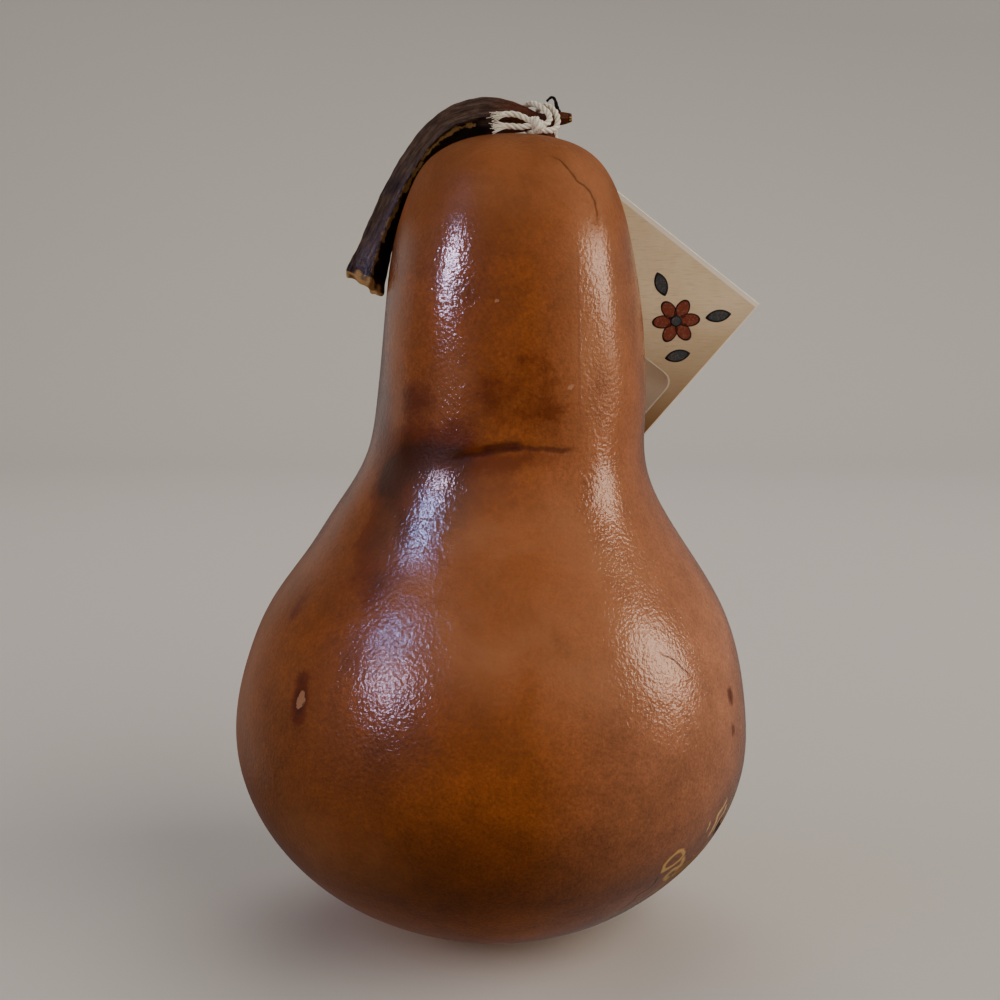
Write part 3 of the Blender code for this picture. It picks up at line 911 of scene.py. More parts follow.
@dataclass
class Stem:
    """The stem: a ridged stalk with a flared, slantwise cut end, a root, a stub and a tendril."""

    # x, y, z and radius, from the broken stub to the flared end.
    stations: Rows = (
        (13.9, 2.9, 147.5, 0.70), (12.4, 3.0, 147.4, 1.05), (10.6, 3.0, 147.2, 1.15),
        (8.5, 3.0, 147.0, 1.25), (6.2, 3.1, 147.3, 1.75), (3.2, 3.6, 147.8, 2.60),
        (-0.6, 4.4, 148.1, 3.05), (-4.8, 5.4, 147.4, 3.10), (-9.2, 6.4, 145.0, 2.95),
        (-13.3, 7.2, 140.4, 2.85), (-17.0, 7.6, 134.4, 2.85), (-20.0, 7.6, 128.2, 2.90),
        (-22.2, 7.4, 122.8, 3.20), (-23.6, 7.2, 118.6, 4.00),
    )
    rings: int = 300
    sides: int = 100
    ridges: int = 5
    ridge_turn: float = 0.9
    twist: float = -0.5
    slant: float = 1.1
    grain_stretch: float = 0.12
    root_rings: int = 24
    root_sides: int = 60
    root_path: tuple[Point, ...] = ((8.9, 3.0, 143.9), (8.8, 3.0, 145.4), (8.7, 3.0, 147.2))
    root_radius: Pair = (1.9, 1.2)
    # How far the underside fills out beside the root, in millimetres.
    fill: float = 0.4
    # A place on the stalk's front is measured to the lower right, by these shares of right and down.
    # The ridge down the front has its middle and half width so, and its height as a share of the radius.
    right_and_down: Pair = (0.75, 0.66)
    keel: Point = (0.02, 0.12, 0.07)
    # The cut face's rows: their size as a share of the end, and how far in from it they lie.
    face_rows: Rows = (
        (0.98, -0.35, 0.8), (0.93, -0.65, 0.95), (0.85, -0.75, 1.0), (0.76, -0.55, 0.9), (0.66, 0.1, 0.6),
        (0.5, 0.6, 0.5), (0.3, 0.75, 0.4), (0.12, 0.8, 0.3),
    )
    tendril: tuple[Point, ...] = (
        (11.5, 3.5, 147.6), (11.2, 4.0, 149.4), (10.9, 4.3, 150.7), (10.5, 4.4, 151.1), (10.0, 4.6, 150.9),
        (9.5, 4.8, 150.4),
    )
    tendril_radius: float = 0.33
    tendril_rings: int = 60
    tendril_sides: int = 14

    def from_ridge(self, angle: Array) -> Array:
        """The angle from the nearest ridge."""
        step = 2 * math.pi / self.ridges
        return (angle + step / 2) % step - step / 2

    def section(self, angle: Array) -> Array:
        """The stalk's section: flat-faced with five raised ridges, as a share of its radius.

        With b the angle from the middle of the nearest face, a flat face is cos(36 deg) / cos(b). Half
        of it is mixed with a circle, and each ridge adds a narrow and a broad hill.
        """
        off = self.from_ridge(angle)
        half = math.pi / self.ridges
        flat = math.cos(half) / np.cos(half - np.abs(off))
        return 0.93 * (0.5 + 0.5 * flat) + 0.13 * bump(off, 0, 0.13) + 0.03 * bump(off, 0, 0.3)

    def stalk(self) -> tuple[Array, dict[str, Array]]:
        """The stalk's surface, and its cut face, which is dished, round-edged and slants across it.

        Returns:
            The grid of points and the marks on it.
        """
        fine = even_steps(spline(np.array(self.stations), 900), self.rings)
        path, size = fine[:, :3], fine[:, 3]
        run = np.linspace(0, 1, self.rings)
        angle = np.linspace(0, 2 * math.pi, self.sides, endpoint=False)
        local = angle[None] - (self.ridge_turn + self.twist * run)[:, None]
        wave = 2 * math.pi * run[:, None]
        lumps = 1 + 0.015 * np.sin(9 * wave + 2 * angle[None]) + 0.008 * np.sin(23 * wave + 3 * angle[None])
        radius = size[:, None] * self.section(local) * lumps
        grid = sweep(path, radius)
        ahead = unit(path[-1] - path[-4])
        slope = np.cos(angle - 2.6)[None, :, None] * smooth_step(run, 0.90, 1.0)[:, None, None]
        grid = grid + slope * self.slant * ahead
        # The underside fills out towards the root.
        below = smooth_step(-(grid - path[:, None])[..., 2] / radius, 0.3, 1.0)
        grid[..., 2] -= self.fill * below * window(path[:, 0], -3.5, 5.5, 2.5)[:, None]
        ring = np.stack([radius * np.cos(angle), radius * np.sin(angle)], axis=-1)
        ones = np.ones_like(radius)
        along = (run * path_length(path) * self.grain_stretch)[:, None] * ones
        outward = (grid - path[:, None]) / radius[..., None]
        free = 1 - smooth_step(path[:, :1], -4.0, -1.0)
        # A sharper ridge runs down the front, between the grey face and the black one.
        turned = outward[..., 0] * self.right_and_down[0] - outward[..., 2] * self.right_and_down[1]
        front = smooth_step(-outward[..., 1], 0.1, 0.5)
        ridge_middle, half_width, raised = self.keel
        keel = bump(turned, ridge_middle, half_width) * front * free
        grid = grid + raised * keel[..., None] * (grid - path[:, None])
        # The lower right face and the underside are painted near-black, partly dark bark and partly painted
        # shade.
        black_and_shaded_face = 0.9 * smooth_step(turned, 0.04, 0.22) * free
        dark_bark_and_shade = np.maximum(black_and_shaded_face, 0.85 * smooth_step(turned, 0.25, 0.6))

        shares, depth, face = np.array(self.face_rows).T
        middle = grid[-1].mean(axis=0)
        uneven = 1 + 0.3 * np.sin(3 * angle + 1.0) + 0.2 * np.sin(7 * angle)
        sunk = (depth[:, None] * uneven)[..., None]
        cap = middle + (grid[-1] - middle) * shares[:, None, None] - ahead * sunk
        ends = smooth_step(run, 0.962, 0.99) + 1 - smooth_step(run, 0.004, 0.014)
        lip = ends[:, None] * (0.62 + 0.38 * np.sin(3 * angle + 2) * np.sin(5 * angle))
        on_face = np.concatenate([lip, face[:, None] * np.ones(self.sides)])
        end_ring = ring[-1:] * shares[:, None, None]
        end_grain = np.concatenate([end_ring, np.repeat(along[-1:, :, None], len(shares), axis=0)], axis=-1)
        none = np.zeros((len(shares), self.sides))
        reddish = 0.75 * smooth_step(path[:, 0], -2.0, 7.0)[:, None] * ones
        ridge = np.maximum(bump(self.from_ridge(local), 0, 0.17), keel)
        shine = smooth_step(run, 0.78, 0.97)[:, None] * bump(turned, -0.3, 0.3) * front
        wax = 0.04 + 0.3 * keel + 0.5 * shine
        marks = {
            "grain": np.concatenate([np.concatenate([ring, along[..., None]], axis=-1), end_grain]),
            "ridge": np.concatenate([ridge, none]),
            "dark_bark_and_shade": np.concatenate([dark_bark_and_shade * (1 - reddish), none]),
            "cut_face": on_face,
            "near_root": np.concatenate([reddish, none]),
            "rubbed": np.concatenate([bump(turned, 0.3, 0.22) * front * free, none]),
            "waxed": np.concatenate([wax, none + 0.3]),
        }
        return np.concatenate([grid, cap]), marks

    def root(self) -> tuple[Array, dict[str, Array]]:
        """The short root that rises out of the gourd's dimple, widest where it leaves the rind.

        Returns:
            The grid of points and the marks on it.
        """
        path = spline(np.array(self.root_path), self.root_rings)
        run = np.linspace(0, 1, self.root_rings)
        angle = np.linspace(0, 2 * math.pi, self.root_sides, endpoint=False)
        size = self.root_radius[0] + (self.root_radius[1] - self.root_radius[0]) * smooth_step(run, 0.1, 0.8)
        radius = size[:, None] * self.section(angle[None])
        ones = np.ones_like(radius)
        grain = np.stack([radius * np.cos(angle), radius * np.sin(angle), run[:, None] * ones], axis=-1)
        ridge = 0.8 * bump(self.from_ridge(angle), 0, 0.17) * ones
        levels = {"dark_bark_and_shade": 0.0, "cut_face": 0.0, "near_root": 0.7, "waxed": 0.1, "rubbed": 0.3}
        marks = {"grain": grain, "ridge": ridge, **{name: level * ones for name, level in levels.items()}}
        return sweep(path, radius, side=(1, 0, 0)), marks

    def curl(self) -> tuple[Array, dict[str, Array]]:
        """The dried tendril: a thin wiry tube, thick at its foot, that thins to its hooked tip.

        Returns:
            The grid of points and the marks on it.
        """
        path = even_steps(spline(np.array(self.tendril), 200), self.tendril_rings)
        run = np.linspace(0, 1, self.tendril_rings)
        size = self.tendril_radius * (1.0 - 0.35 * run + 1.7 * bump(run, 0, 0.3) + 0.08 * np.sin(40 * run))
        radius = size[:, None] * np.ones(self.tendril_sides)
        grid = sweep(path, radius, side=(0, 1, 0))
        none = 0 * radius
        plain = {name: none for name in ("ridge", "cut_face", "near_root", "waxed", "rubbed")}
        return grid, {"grain": grid * 0.5, "dark_bark_and_shade": none + 0.9, **plain}

    def build(self) -> list[bpy.types.Object]:
        """Makes the stalk, its root and the tendril, each a closed piece."""
        finish = WoodyStem().make()
        pieces = []
        shapes = {"stem_stalk": self.stalk(), "stem_root": self.root(), "stem_tendril": self.curl()}
        for name, (grid, marks) in shapes.items():
            piece = closed_mesh(name, [grid], {mark: [values] for mark, values in marks.items()})
            piece.data.materials.append(finish)
            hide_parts("stem")
            pieces.append(piece)
        return pieces


# The string


@dataclass(frozen=True)
class CottonYarn:
    """Three-ply cotton string, unbleached: soft, matt and slightly fuzzy, with painted shadow between the
    plies.
    """

    cream: str = "#F6F0E2"
    lint: str = "#E4DAC2"
    shadow: str = "#8A7757"

    def make(self) -> bpy.types.Material:
        """Builds the material on the yarn's own groove mark and Object coordinates."""
        paint = Paint("unbleached_cotton_yarn")
        place = paint.node("TexCoord", out="Object")
        groove = paint.node("Attribute", out="Fac", attribute_name="groove")
        fuzz = paint.node("TexNoise", {"Vector": place, "Scale": every(0.2), "Detail": 3.0, "Roughness": 0.7})
        patch = paint.node("TexNoise", {"Vector": place, "Scale": every(1.4), "Detail": 3.0})
        colour = paint.node("ValToRGB", {0: patch}, stops=((0.35, self.lint), (0.6, self.cream)))
        # Painted shadow in the grooves between the plies.
        dark = paint.node("MapRange", {"Value": groove, "From Min": 0.15, "From Max": 1.0, "To Max": 0.7})
        colour = paint.node("Mix", {SHARE: dark, LOW: colour, HIGH: linear(self.shadow)}, **BLEND)
        nap = paint.node("Bump", {"Strength": 0.7, "Distance": 0.06 * MM, "Height": fuzz})
        return paint.finish({
            "Base Color": colour, "Roughness": 0.92, "Specular IOR Level": 0.2, "Sheen Weight": 0.3,
            "Sheen Roughness": 0.5, "Normal": nap,
        })


@dataclass
class TiedString:
    """One length of three-ply string, tied round the stem's root, with the tag on its loop."""

    diameter: float = 1.1
    plies: int = 3
    pitch: float = 3.4
    sides: int = 30
    step: float = 0.16
    # The route of part.py's solid, from the end of the upper tail back to the knot, and then the
    # lower tail's.
    route: tuple[Point, ...] = (
        (1.6, -1.1, 147.9), (3.4, -1.3, 148.0), (5.4, -1.5, 147.4), (7.2, -1.7, 146.5), (8.8, -1.5, 146.2),
        (9.8, -0.6, 146.8), (9.7, 0.6, 148.1), (8.7, 1.6, 149.1), (7.2, 3.3, 149.9), (5.9, 5.1, 149.7),
        (5.2, 6.5, 148.5), (5.3, 7.5, 146.8), (6.3, 8.8, 145.2), (7.8, 11.0, 144.0), (9.4, 13.8, 142.7),
        (10.7, 16.2, 141.7), (11.5, 17.5, 140.3), (11.7, 18.2, 138.7), (11.7, 19.7, 138.1),
        (11.7, 21.2, 138.7), (11.6, 21.9, 140.3), (11.5, 21.7, 142.5), (11.4, 20.7, 144.8),
        (11.3, 18.4, 145.9), (11.0, 15.2, 145.5), (10.4, 12.0, 145.0), (9.5, 9.3, 145.4),
        (8.5, 7.6, 146.9), (8.0, 6.3, 148.5), (8.5, 4.7, 149.5),
        (9.8, 2.9, 149.4), (10.8, 1.5, 148.6), (11.3, 0.4, 147.3), (11.1, -0.6, 145.8), (10.1, -1.8, 145.2),
        (8.7, -2.4, 145.3), (7.2, -2.0, 146.0), (5.2, -2.0, 145.8), (3.3, -2.0, 145.9), (1.5, -1.9, 145.9),
    )
    knot_middle: Point = (7.6, -1.9, 146.1)
    knot_radius: Point = (0.62, 0.95, 1.05)
    knot_turns: float = 2.2
    fray_count: int = 26
    fray_length: float = 1.8
    fray_radius: Pair = (0.11, 0.05)
    seed: int = 7

    def yarn(self, path: Array) -> tuple[Array, Array]:
        """The surface of three plies twisted round a path.

        Each ply is a circle of radius 0.56 R whose middle is 0.44 R from the path. At an angle b from
        the nearest ply's middle the outline is 0.44 R cos(b) + sqrt((0.56 R)^2 - (0.44 R sin(b))^2),
        and the plies turn once round in each pitch.

        Args:
            path: the string's middle line, in millimetres.

        Returns:
            The grid of points, and how deep in a groove each one is, from 0 to 1.
        """
        run = np.concatenate([[0], np.cumsum(np.linalg.norm(np.diff(path, axis=0), axis=1))])
        angle = np.arange(self.sides) * (2 * math.pi / self.sides)
        step = 2 * math.pi / self.plies
        local = (angle[None] - 2 * math.pi * run[:, None] / self.pitch) % step - step / 2
        off, ply = 0.44, 0.56
        share = off * np.cos(local) + np.sqrt(ply**2 - (off * np.sin(local)) ** 2)
        lowest = off * math.cos(step / 2) + math.sqrt(ply**2 - (off * math.sin(step / 2)) ** 2)
        deep = (1 - share) / (1 - lowest)
        return sweep(path, self.diameter / 2 * share), np.clip(deep, 0, 1)

    def frays(self, tip: Array, ahead: Array, generator: np.random.Generator) -> list[Array]:
        """Loose fibres that splay from a cut end, each a thin tapered tube on a bent path.

        Args:
            tip: the end of the string.
            ahead: the direction that it points in.
            generator: where the spread of the fibres comes from.

        Returns:
            One grid for each fibre.
        """
        grids = []
        run = np.linspace(0, 1, 9)
        for _ in range(self.fray_count):
            start = generator.normal(0, 0.2, 3)
            start = tip - ahead * 0.9 + start - ahead * np.dot(start, ahead)
            splay = (start - tip + ahead * 0.9) * 0.75 + generator.normal(0, 0.12, 3)
            bend = generator.normal(0, 0.16, 3)
            length = 0.9 + self.fray_length * generator.uniform(0.55, 1.0)
            path = start + np.outer(run * length, ahead) + np.outer(run**1.4 * length * 0.75, splay)
            path = path + np.outer(run**2 * length * 0.6, bend)
            radius = self.fray_radius[0] + (self.fray_radius[1] - self.fray_radius[0]) * run
            grids.append(sweep(path, radius[:, None] * np.ones(6)))
        return grids

    def knot(self) -> tuple[Array, Array]:
        """The knot's turns: a slanted helix round the strands, whose ends tuck back inside it.

        Returns:
            The grid of points, and how deep in a groove each one is.
        """
        turn = np.linspace(0, 2 * math.pi * self.knot_turns, 220)
        share = np.linspace(-1, 1, 220)
        tuck = 1 - 0.55 * np.abs(share) ** 6
        x = self.knot_radius[0] * share + 0.3 * np.cos(turn + 0.6)
        y = -self.knot_radius[1] * np.cos(turn) * tuck
        z = self.knot_radius[2] * np.sin(turn) * tuck
        path = np.array(self.knot_middle) + np.stack([x, y, z], axis=1)
        return self.yarn(even_steps(path, 120))

    def build(self) -> list[bpy.types.Object]:
        finish = CottonYarn().make()
        fine = spline(np.array(self.route), 2400)
        length = path_length(fine)
        path = even_steps(fine, int(length / self.step))
        grid, groove = self.yarn(path)
        cord = closed_mesh("string_yarn", [grid], {"groove": [groove]})
        turns, knot_groove = self.knot()
        knot = closed_mesh("string_knot_turns", [turns], {"groove": [knot_groove]})
        generator = np.random.default_rng(self.seed)
        fibres = self.frays(path[0], unit(path[0] - path[6]), generator)
        fibres += self.frays(path[-1], unit(path[-1] - path[-7]), generator)
        fray_groove = [np.full(fibre.shape[:2], 0.1) for fibre in fibres]
        frayed = closed_mesh("string_frayed_ends", fibres, {"groove": fray_groove})
        for piece in (cord, knot, frayed):
            piece.data.materials.append(finish)
        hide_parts("string")
        return [cord, knot, frayed]


# The tag


@dataclass
class Tag:
    """The square card with its print and its clear label. Places on it are u and w, in millimetres
    from its top corner along its upper right and its upper left side."""

    corner: Point = (11.0, 18.3, 144.0)
    side: float = 51.0
    thickness: float = 0.6
    turn: float = math.radians(38.4)
    lean: float = math.radians(13)
    label_size: Pair = (45.4, 26.0)
    label_inset: Pair = (2.8, 21.7)
    label_corner: float = 2.5
    label_lift: float = 0.02
    label_thickness: float = 0.06
    print_lift: float = 0.01
    print_thickness: float = 0.02
    petals: int = 6
    flower_middle: Pair = (40.6, 12.4)
    petal_size: Pair = (2.15, 1.35)
    petal_reach: float = 2.5
    heart_radius: float = 1.15
    leaf_places: Rows = ((33.6, 8.6, 0.55), (46.3, 6.6, 2.3), (45.4, 17.6, -0.9))
    leaf_size: Pair = (2.5, 1.25)

    def axes(self) -> tuple[Array, Array, Array]:
        """The directions of u, of w and out of the tag's front."""
        t, s = self.turn, self.lean
        u = np.array([math.cos(t), math.sin(t) * math.sin(s), -math.sin(t) * math.cos(s)])
        w = np.array([-math.sin(t), math.cos(t) * math.sin(s), -math.cos(t) * math.cos(s)])
        return u, w, np.array([0, -math.cos(s), -math.sin(s)])

    def plate(self, outline: Array, lift: float, thickness: float, rim: float) -> tuple[Array, Array]:
        """A thin closed plate on the tag's front.

        Its rows are the outline shrunk towards its middle: 0.5 and 1 at the back, then 1, 1 - rim,
        1 - 1.2 * rim, 0.6 and 0.3 at the front. The band mark is 1 from the edge to 1 - rim.

        Args:
            outline: its outline as u and w, one point a row.
            lift: the gap between it and the card.
            thickness: its thickness.
            rim: the rim's width as a share of the distance to the middle.

        Returns:
            The grid of points and the band mark.
        """
        u, w, out = self.axes()
        middle = outline.mean(axis=0)
        shares = np.array([0.5, 1.0, 1.0, 1 - rim, 1 - 1.2 * rim, 0.6, 0.3])
        height = self.thickness / 2 + lift + thickness * np.array([0, 0, 1, 1, 1, 1, 1])
        flat = middle + (outline - middle)[None] * shares[:, None, None]
        points = np.array(self.corner) + flat[..., :1] * u + flat[..., 1:] * w + height[:, None, None] * out
        band = np.array([0, 1, 1, 1, 0, 0, 0])[:, None] * np.ones(len(outline))
        return points, band

    def rounded_box(self) -> Array:
        """The label's outline: a box whose corners are quarter circles, as u and w."""
        wide, high = self.label_size
        right, top = self.side - self.label_inset[0], self.label_inset[1]
        angle = np.linspace(0, math.pi / 2, 8)
        half = np.array([wide, high]) / 2 - self.label_corner
        middle = np.array([right - wide / 2, top + high / 2])
        corners = []
        for quarter, sign in enumerate(((1, 1), (-1, 1), (-1, -1), (1, -1))):
            turned = angle + quarter * math.pi / 2
            ring = self.label_corner * np.stack([np.cos(turned), np.sin(turned)], axis=1)
            corners.append(middle + half * sign + ring)
        return np.concatenate(corners)

    def oval(self, middle: Pair, size: Pair, turn: float, point: float = 0.0) -> Array:
        """An oval: (long * cos(a), wide * sin(a) * |sin(a)|^point), turned and moved into place.

        Args:
            middle: its middle as u and w.
            size: its half length and half width.
            turn: the angle of its long way from u.
            point: how pointed its ends are, from 0 for a plain oval.

        Returns:
            Its outline as u and w, one point a row.
        """
        angle = np.linspace(0, 2 * math.pi, 48, endpoint=False)
        long = size[0] * np.cos(angle)
        wide = size[1] * np.sin(angle) * np.abs(np.sin(angle)) ** point
        c, s = math.cos(turn), math.sin(turn)
        return np.array(middle) + np.stack([long * c - wide * s, long * s + wide * c], axis=1)

    def flower(self) -> list[Array]:
        """The outlines of the print's petals, round its middle."""
        turns = np.arange(self.petals) * (2 * math.pi / self.petals) + 0.3
        ways = np.stack([np.cos(turns), np.sin(turns)], axis=1)
        middles = np.array(self.flower_middle) + self.petal_reach * ways
        return [self.oval(middle, self.petal_size, turn) for middle, turn in zip(middles, turns)]

    def printed(self, name: str, outlines: list[Array], lift: float, rim: float) -> bpy.types.Object:
        """Makes one colour of the print, a thin plate for each outline."""
        plates = [self.plate(outline, lift, self.print_thickness, rim) for outline in outlines]
        piece = closed_mesh(name, [points for points, _ in plates], {"band": [band for _, band in plates]})
        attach(piece, "root")
        return piece

    def build(self) -> list[bpy.types.Object]:
        """Dresses the card and makes its print and its label."""
        card = frame["nodes"]["tag"]
        card.data.materials.clear()
        card.data.materials.append(KraftCard().make(self))
        red = PrintingInk("brick_red_ink", "#7A3524", "#2A0C0E").make()
        slate = PrintingInk("slate_ink", "#3A4145", "#14161A").make()
        heart = self.oval(self.flower_middle, (self.heart_radius, self.heart_radius), 0.0)
        leaves = [self.oval(place[:2], self.leaf_size, place[2], 0.6) for place in self.leaf_places]
        above = 2 * self.print_lift + self.print_thickness
        prints = (
            (self.printed("tag_print_petals", self.flower(), self.print_lift, 0.16), red),
            (self.printed("tag_print_heart", [heart], above, 0.2), slate),
            (self.printed("tag_print_leaves", leaves, self.print_lift, 0.2), slate),
        )
        for piece, ink in prints:
            piece.data.materials.append(ink)
        points, band = self.plate(self.rounded_box(), self.label_lift, self.label_thickness, 0.012)
        label = closed_mesh("tag_clear_label", [points], {"band": [band]})
        label.data.materials.append(ClearFilm().make())
        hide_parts("tag_label")
        return [*(piece for piece, _ in prints), label]


@dataclass(frozen=True)
class KraftCard:
    """Unbleached kraft card, die-cut: tan, matt, streaked with grey-brown fibres, and cream along its
    cut edges, with a painted highlight along the upper right edge and painted shade low on its front."""

    tan: str = "#E6CFA6"
    light: str = "#F0DCB8"
    # The painted shade's colour on the front's low corner.
    low: str = "#7C5C38"
    fibre: str = "#8A6E4A"
    edge: str = "#FFF6E2"
    fibre_width: float = 0.28
    fibre_length: float = 3.0
    rim: float = 0.3
    # The width of the painted highlight along the upper right edge, which faces the light.
    highlight_rim: float = 0.95
    # The heights in millimetres between which painted shade darkens the front down to its low corner.
    painted_shade_heights: Pair = (114, 88)

    def make(self, tag: Tag) -> bpy.types.Material:
        """Builds the material on Object coordinates, measured along the card's own sides.

        Args:
            tag: the tag, whose corner and sides tell the cut edges from the faces.

        Returns:
            The material.
        """
        paint = Paint("kraft_card")
        place = paint.node("TexCoord", out="Object")
        corner = tuple(np.array(tag.corner) * MM)
        offset = paint.node("VectorMath", {0: place, 1: corner}, operation="SUBTRACT")
        x, height = (paint.node("SeparateXYZ", {0: place}, out=number) for number in (0, 2))
        settings = {"out": "Value", "operation": "DOT_PRODUCT"}
        u, w, out = (paint.node("VectorMath", {0: offset, 1: tuple(way)}, **settings) for way in tag.axes())
        cloud = paint.node("TexNoise", {"Vector": place, "Scale": every(8), "Detail": 5.0, "Roughness": 0.6})
        colour = paint.node("ValToRGB", {0: cloud}, stops=((0.35, self.tan), (0.65, self.light)))
        # Painted shade darkens the front, not the back, towards its low corner.
        first, last = (place * MM for place in self.painted_shade_heights)
        painted_shade_share = paint.node("MapRange", {"Value": height, "From Min": first, "From Max": last})
        front = paint.node("MapRange", {"Value": out, "From Min": 0.0, "From Max": 0.2 * MM})
        painted_shade_share = paint.node("Math", {0: painted_shade_share, 1: front}, operation="MULTIPLY")
        colour = paint.node("Mix", {SHARE: painted_shade_share, LOW: colour, HIGH: linear(self.low)}, **BLEND)
        long = paint.node("Math", {0: x, 1: every(self.fibre_length)}, operation="MULTIPLY")
        wide = paint.node("Math", {0: height, 1: every(self.fibre_width)}, operation="MULTIPLY")
        flat = paint.node("CombineXYZ", {0: long, 1: wide})
        strands = paint.node("TexNoise", {"Vector": flat, "Scale": 1.0, "Detail": 4.0, "Roughness": 0.65})
        fleck = paint.node("MapRange", {"Value": strands, "From Min": 0.5, "From Max": 0.8, "To Max": 0.4})
        colour = paint.node("Mix", {SHARE: fleck, LOW: colour, HIGH: linear(self.fibre)}, **BLEND)
        # A thin cream band round the cut edges, widened along the upper right edge by a painted highlight.
        end = tag.side * MM
        rims = ((u, 0, self.rim), (w, 0, self.highlight_rim), (u, end, -self.rim), (w, end, -self.rim))
        for value, low, high in rims:
            share = {"Value": value, "From Min": low + high * 0.8 * MM, "From Max": low + high * MM}
            share = paint.node("MapRange", {**share, "To Min": 1.0, "To Max": 0.0})
            colour = paint.node("Mix", {SHARE: share, LOW: colour, HIGH: linear(self.edge)}, **BLEND)
        tooth = paint.node("Bump", {"Strength": 0.5, "Distance": 0.05 * MM, "Height": strands})
        return paint.finish({
            "Base Color": colour, "Roughness": 0.82, "Specular IOR Level": 0.3, "Normal": tooth,
        })


@dataclass(frozen=True)
class PrintingInk:
    """Flat offset ink on card: dull, with the card's tooth showing through."""

    name: str
    fill: str
    outline: str
    card: str = "#A98F6F"

    def make(self) -> bpy.types.Material:
        """Builds the material on the print's own outline mark."""
        paint = Paint(self.name)
        place = paint.node("TexCoord", out="Object")
        band = paint.node("Attribute", out="Fac", attribute_name="band")
        speck = paint.node("TexNoise", {"Vector": place, "Scale": every(0.4), "Detail": 3.0})
        thin = paint.node("MapRange", {"Value": speck, "From Min": 0.5, "From Max": 0.75, "To Max": 0.35})
        thinned = {SHARE: thin, LOW: linear(self.fill), HIGH: linear(self.card)}
        colour = paint.node("Mix", thinned, **BLEND)
        line = paint.node("MapRange", {"Value": band, "From Min": 0.4, "From Max": 0.6})
        colour = paint.node("Mix", {SHARE: line, LOW: colour, HIGH: linear(self.outline)}, **BLEND)
        return paint.finish({"Base Color": colour, "Roughness": 0.7})


@dataclass(frozen=True)
class ClearFilm:
    """Clear polypropylene film with an adhesive back: thin, slightly grey, brighter at its cut edge."""

    body: str = "#D8C8B4"
    edge: str = "#FFF2DE"

    def make(self) -> bpy.types.Material:
        """Builds the material on the label's own band mark."""
        paint = Paint("clear_polypropylene_film")
        band = paint.node("Attribute", out="Fac", attribute_name="band")
        rim = paint.node("MapRange", {"Value": band, "From Min": 0.4, "From Max": 0.6})
        ends = {SHARE: rim, LOW: linear(self.body), HIGH: linear(self.edge)}
        colour = paint.node("Mix", ends, **BLEND)
        cover = paint.node("MapRange", {"Value": rim, "To Min": 0.07, "To Max": 0.36})
        return paint.finish({"Base Color": colour, "Alpha": cover, "Roughness": 0.3, "IOR": 1.49})


# The studio


@dataclass(frozen=True)
class Lamp:
    """A soft oval light. Its place is an angle from the front, positive to the right, a height
    angle and a distance from the gourd's middle."""

    name: str
    turn: float
    rise: float
    distance: float
    size: Pair
    power: float
    colour: str
    diffuse: bool = True
    glossy: bool = True

    def build(self, aim: Point) -> bpy.types.Object:
        """Makes the light and points it.

        Args:
            aim: what it points at, in metres.

        Returns:
            The light.
        """
        data = bpy.data.lights.new(self.name, "AREA")
        data.shape = "ELLIPSE"
        data.size, data.size_y = self.size
        data.energy = self.power
        data.color = linear(self.colour)[:3]
        lamp = bpy.data.objects.new(self.name, data)
        turn, rise = math.radians(self.turn), math.radians(self.rise)
        way = np.array([math.sin(turn) * math.cos(rise), -math.cos(turn) * math.cos(rise), math.sin(rise)])
        lamp.location = np.array(aim) + way * self.distance
        lamp.rotation_euler = (math.pi / 2 - rise, 0, turn)
        lamp.visible_diffuse = self.diffuse
        lamp.visible_glossy = self.glossy
        bpy.context.scene.collection.objects.link(lamp)
        return lamp


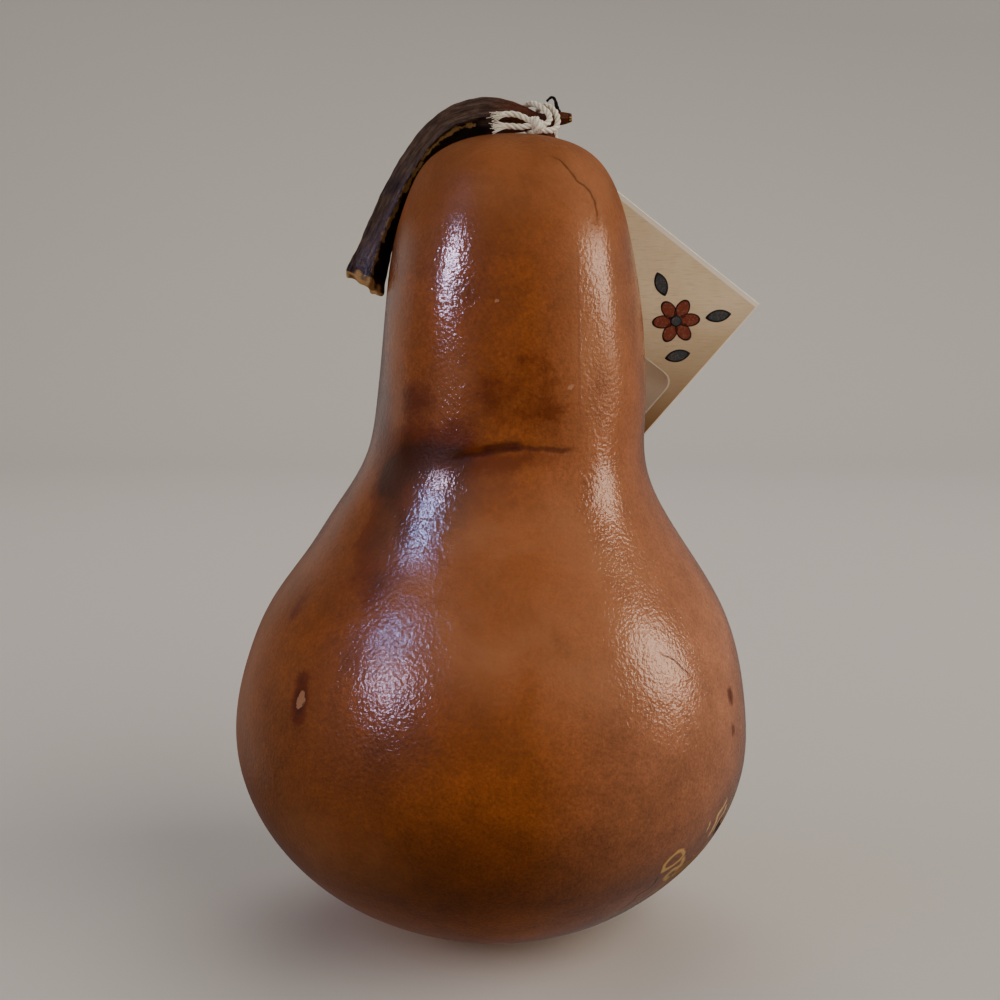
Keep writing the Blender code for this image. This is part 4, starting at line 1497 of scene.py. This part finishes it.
@dataclass
class Studio:
    """A pale sweep, soft lights and the camera."""

    wall_distance: float = 0.9
    bend: float = 0.35
    half_width: float = 2.5
    front: float = -1.4
    top: float = 1.8
    paper: str = "#C9C6C0"
    sky: str = "#E4E6EA"
    sky_strength: float = 0.16
    aim: Point = (0.0, 0.0, 0.075)
    camera_place: Point = (0.0012, -0.330, 0.137)
    camera_dip: float = 9.9
    focal_length: float = 66.42
    # The first four lamps show only as reflections, and the other four only light the surfaces.
    lamps: tuple[Lamp, ...] = (
        Lamp("window", -50, 22, 0.75, (0.15, 0.18), 7.6, "#E4CEF8", diffuse=False),
        Lamp("high_window", -61, 40, 0.75, (0.1, 0.12), 4.4, "#A4B8FF", diffuse=False),
        Lamp("left_wall", -128, 4, 0.8, (0.8, 0.9), 0.75, "#DCD8CE", diffuse=False),
        Lamp("side_bounce", 84, 15, 0.6, (0.24, 0.34), 2.85, "#FFD9C0", diffuse=False),
        Lamp("left_fill", -88, 4, 0.9, (0.8, 0.8), 4.5, "#FFF2E4", glossy=False),
        Lamp("low_fill", -25, 1, 0.8, (1.2, 0.16), 1.3, "#FFF2E4", glossy=False),
        Lamp("key", 58, 28, 1.1, (1.5, 1.2), 13.5, "#FFF4E8", glossy=False),
        Lamp("back_fill", 172, 45, 0.75, (0.8, 0.5), 2.4, "#FFF6EC", glossy=False),
    )

    def sweep_paper(self) -> bpy.types.Object:
        """The floor and backdrop: a flat, a quarter circle and a wall, carried across sideways."""
        angle = np.linspace(0, math.pi / 2, 24)
        arc_y = self.wall_distance - self.bend + self.bend * np.sin(angle)
        arc_z = self.bend - self.bend * np.cos(angle)
        y = np.concatenate([[self.front], arc_y, [self.wall_distance]])
        z = np.concatenate([[0], arc_z, [self.top]])
        x = np.linspace(-self.half_width, self.half_width, 3)
        grid = np.stack(np.broadcast_arrays(x[None], y[:, None], z[:, None]), axis=-1)
        index = np.arange(grid.shape[0] * grid.shape[1]).reshape(grid.shape[:2])
        faces = np.stack([index[:-1, :-1], index[:-1, 1:], index[1:, 1:], index[1:, :-1]], axis=-1)
        mesh = bpy.data.meshes.new("paper_sweep")
        mesh.from_pydata(grid.reshape(-1, 3), [], faces.reshape(-1, 4).tolist())
        mesh.shade_smooth()
        paper = Paint("seamless_paper").finish({"Base Color": linear(self.paper), "Roughness": 0.9})
        mesh.materials.append(paper)
        sweep_piece = bpy.data.objects.new("paper_sweep", mesh)
        bpy.context.scene.collection.objects.link(sweep_piece)
        # The paper throws no light back, so the underside of the piece stays dark.
        sweep_piece.visible_diffuse = False
        sweep_piece.visible_glossy = False
        return sweep_piece

    def build(self) -> None:
        """Makes the sweep, the sky, the lights and the camera."""
        self.sweep_paper()
        world = bpy.data.worlds.new("soft_sky")
        world.use_nodes = True
        sky = world.node_tree.nodes["Background"]
        sky.inputs["Color"].default_value = linear(self.sky)
        sky.inputs["Strength"].default_value = self.sky_strength
        bpy.context.scene.world = world
        for lamp in self.lamps:
            lamp.build(self.aim)
        data = bpy.data.cameras.new("camera")
        data.lens = self.focal_length
        data.sensor_width = 36.0
        data.sensor_fit = "HORIZONTAL"
        data.clip_start = 0.01
        camera = bpy.data.objects.new("camera", data)
        camera.location = self.camera_place
        camera.rotation_euler = (math.radians(90 - self.camera_dip), 0, 0)
        bpy.context.scene.collection.objects.link(camera)
        bpy.context.scene.camera = camera


def main() -> None:
    """Builds the studio and each sub-assembly."""
    logging.basicConfig(level=logging.INFO, format="%(name)s: %(message)s")
    Studio().build()
    for assembly in (TiedString(), Rind(), Stem(), Tag()):
        for piece in assembly.build():
            if body_of(piece) is None:
                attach(piece, "root")
            LOG.info("%s: %d faces", piece.name, len(piece.data.polygons))


if __name__ == "__main__":
    main()
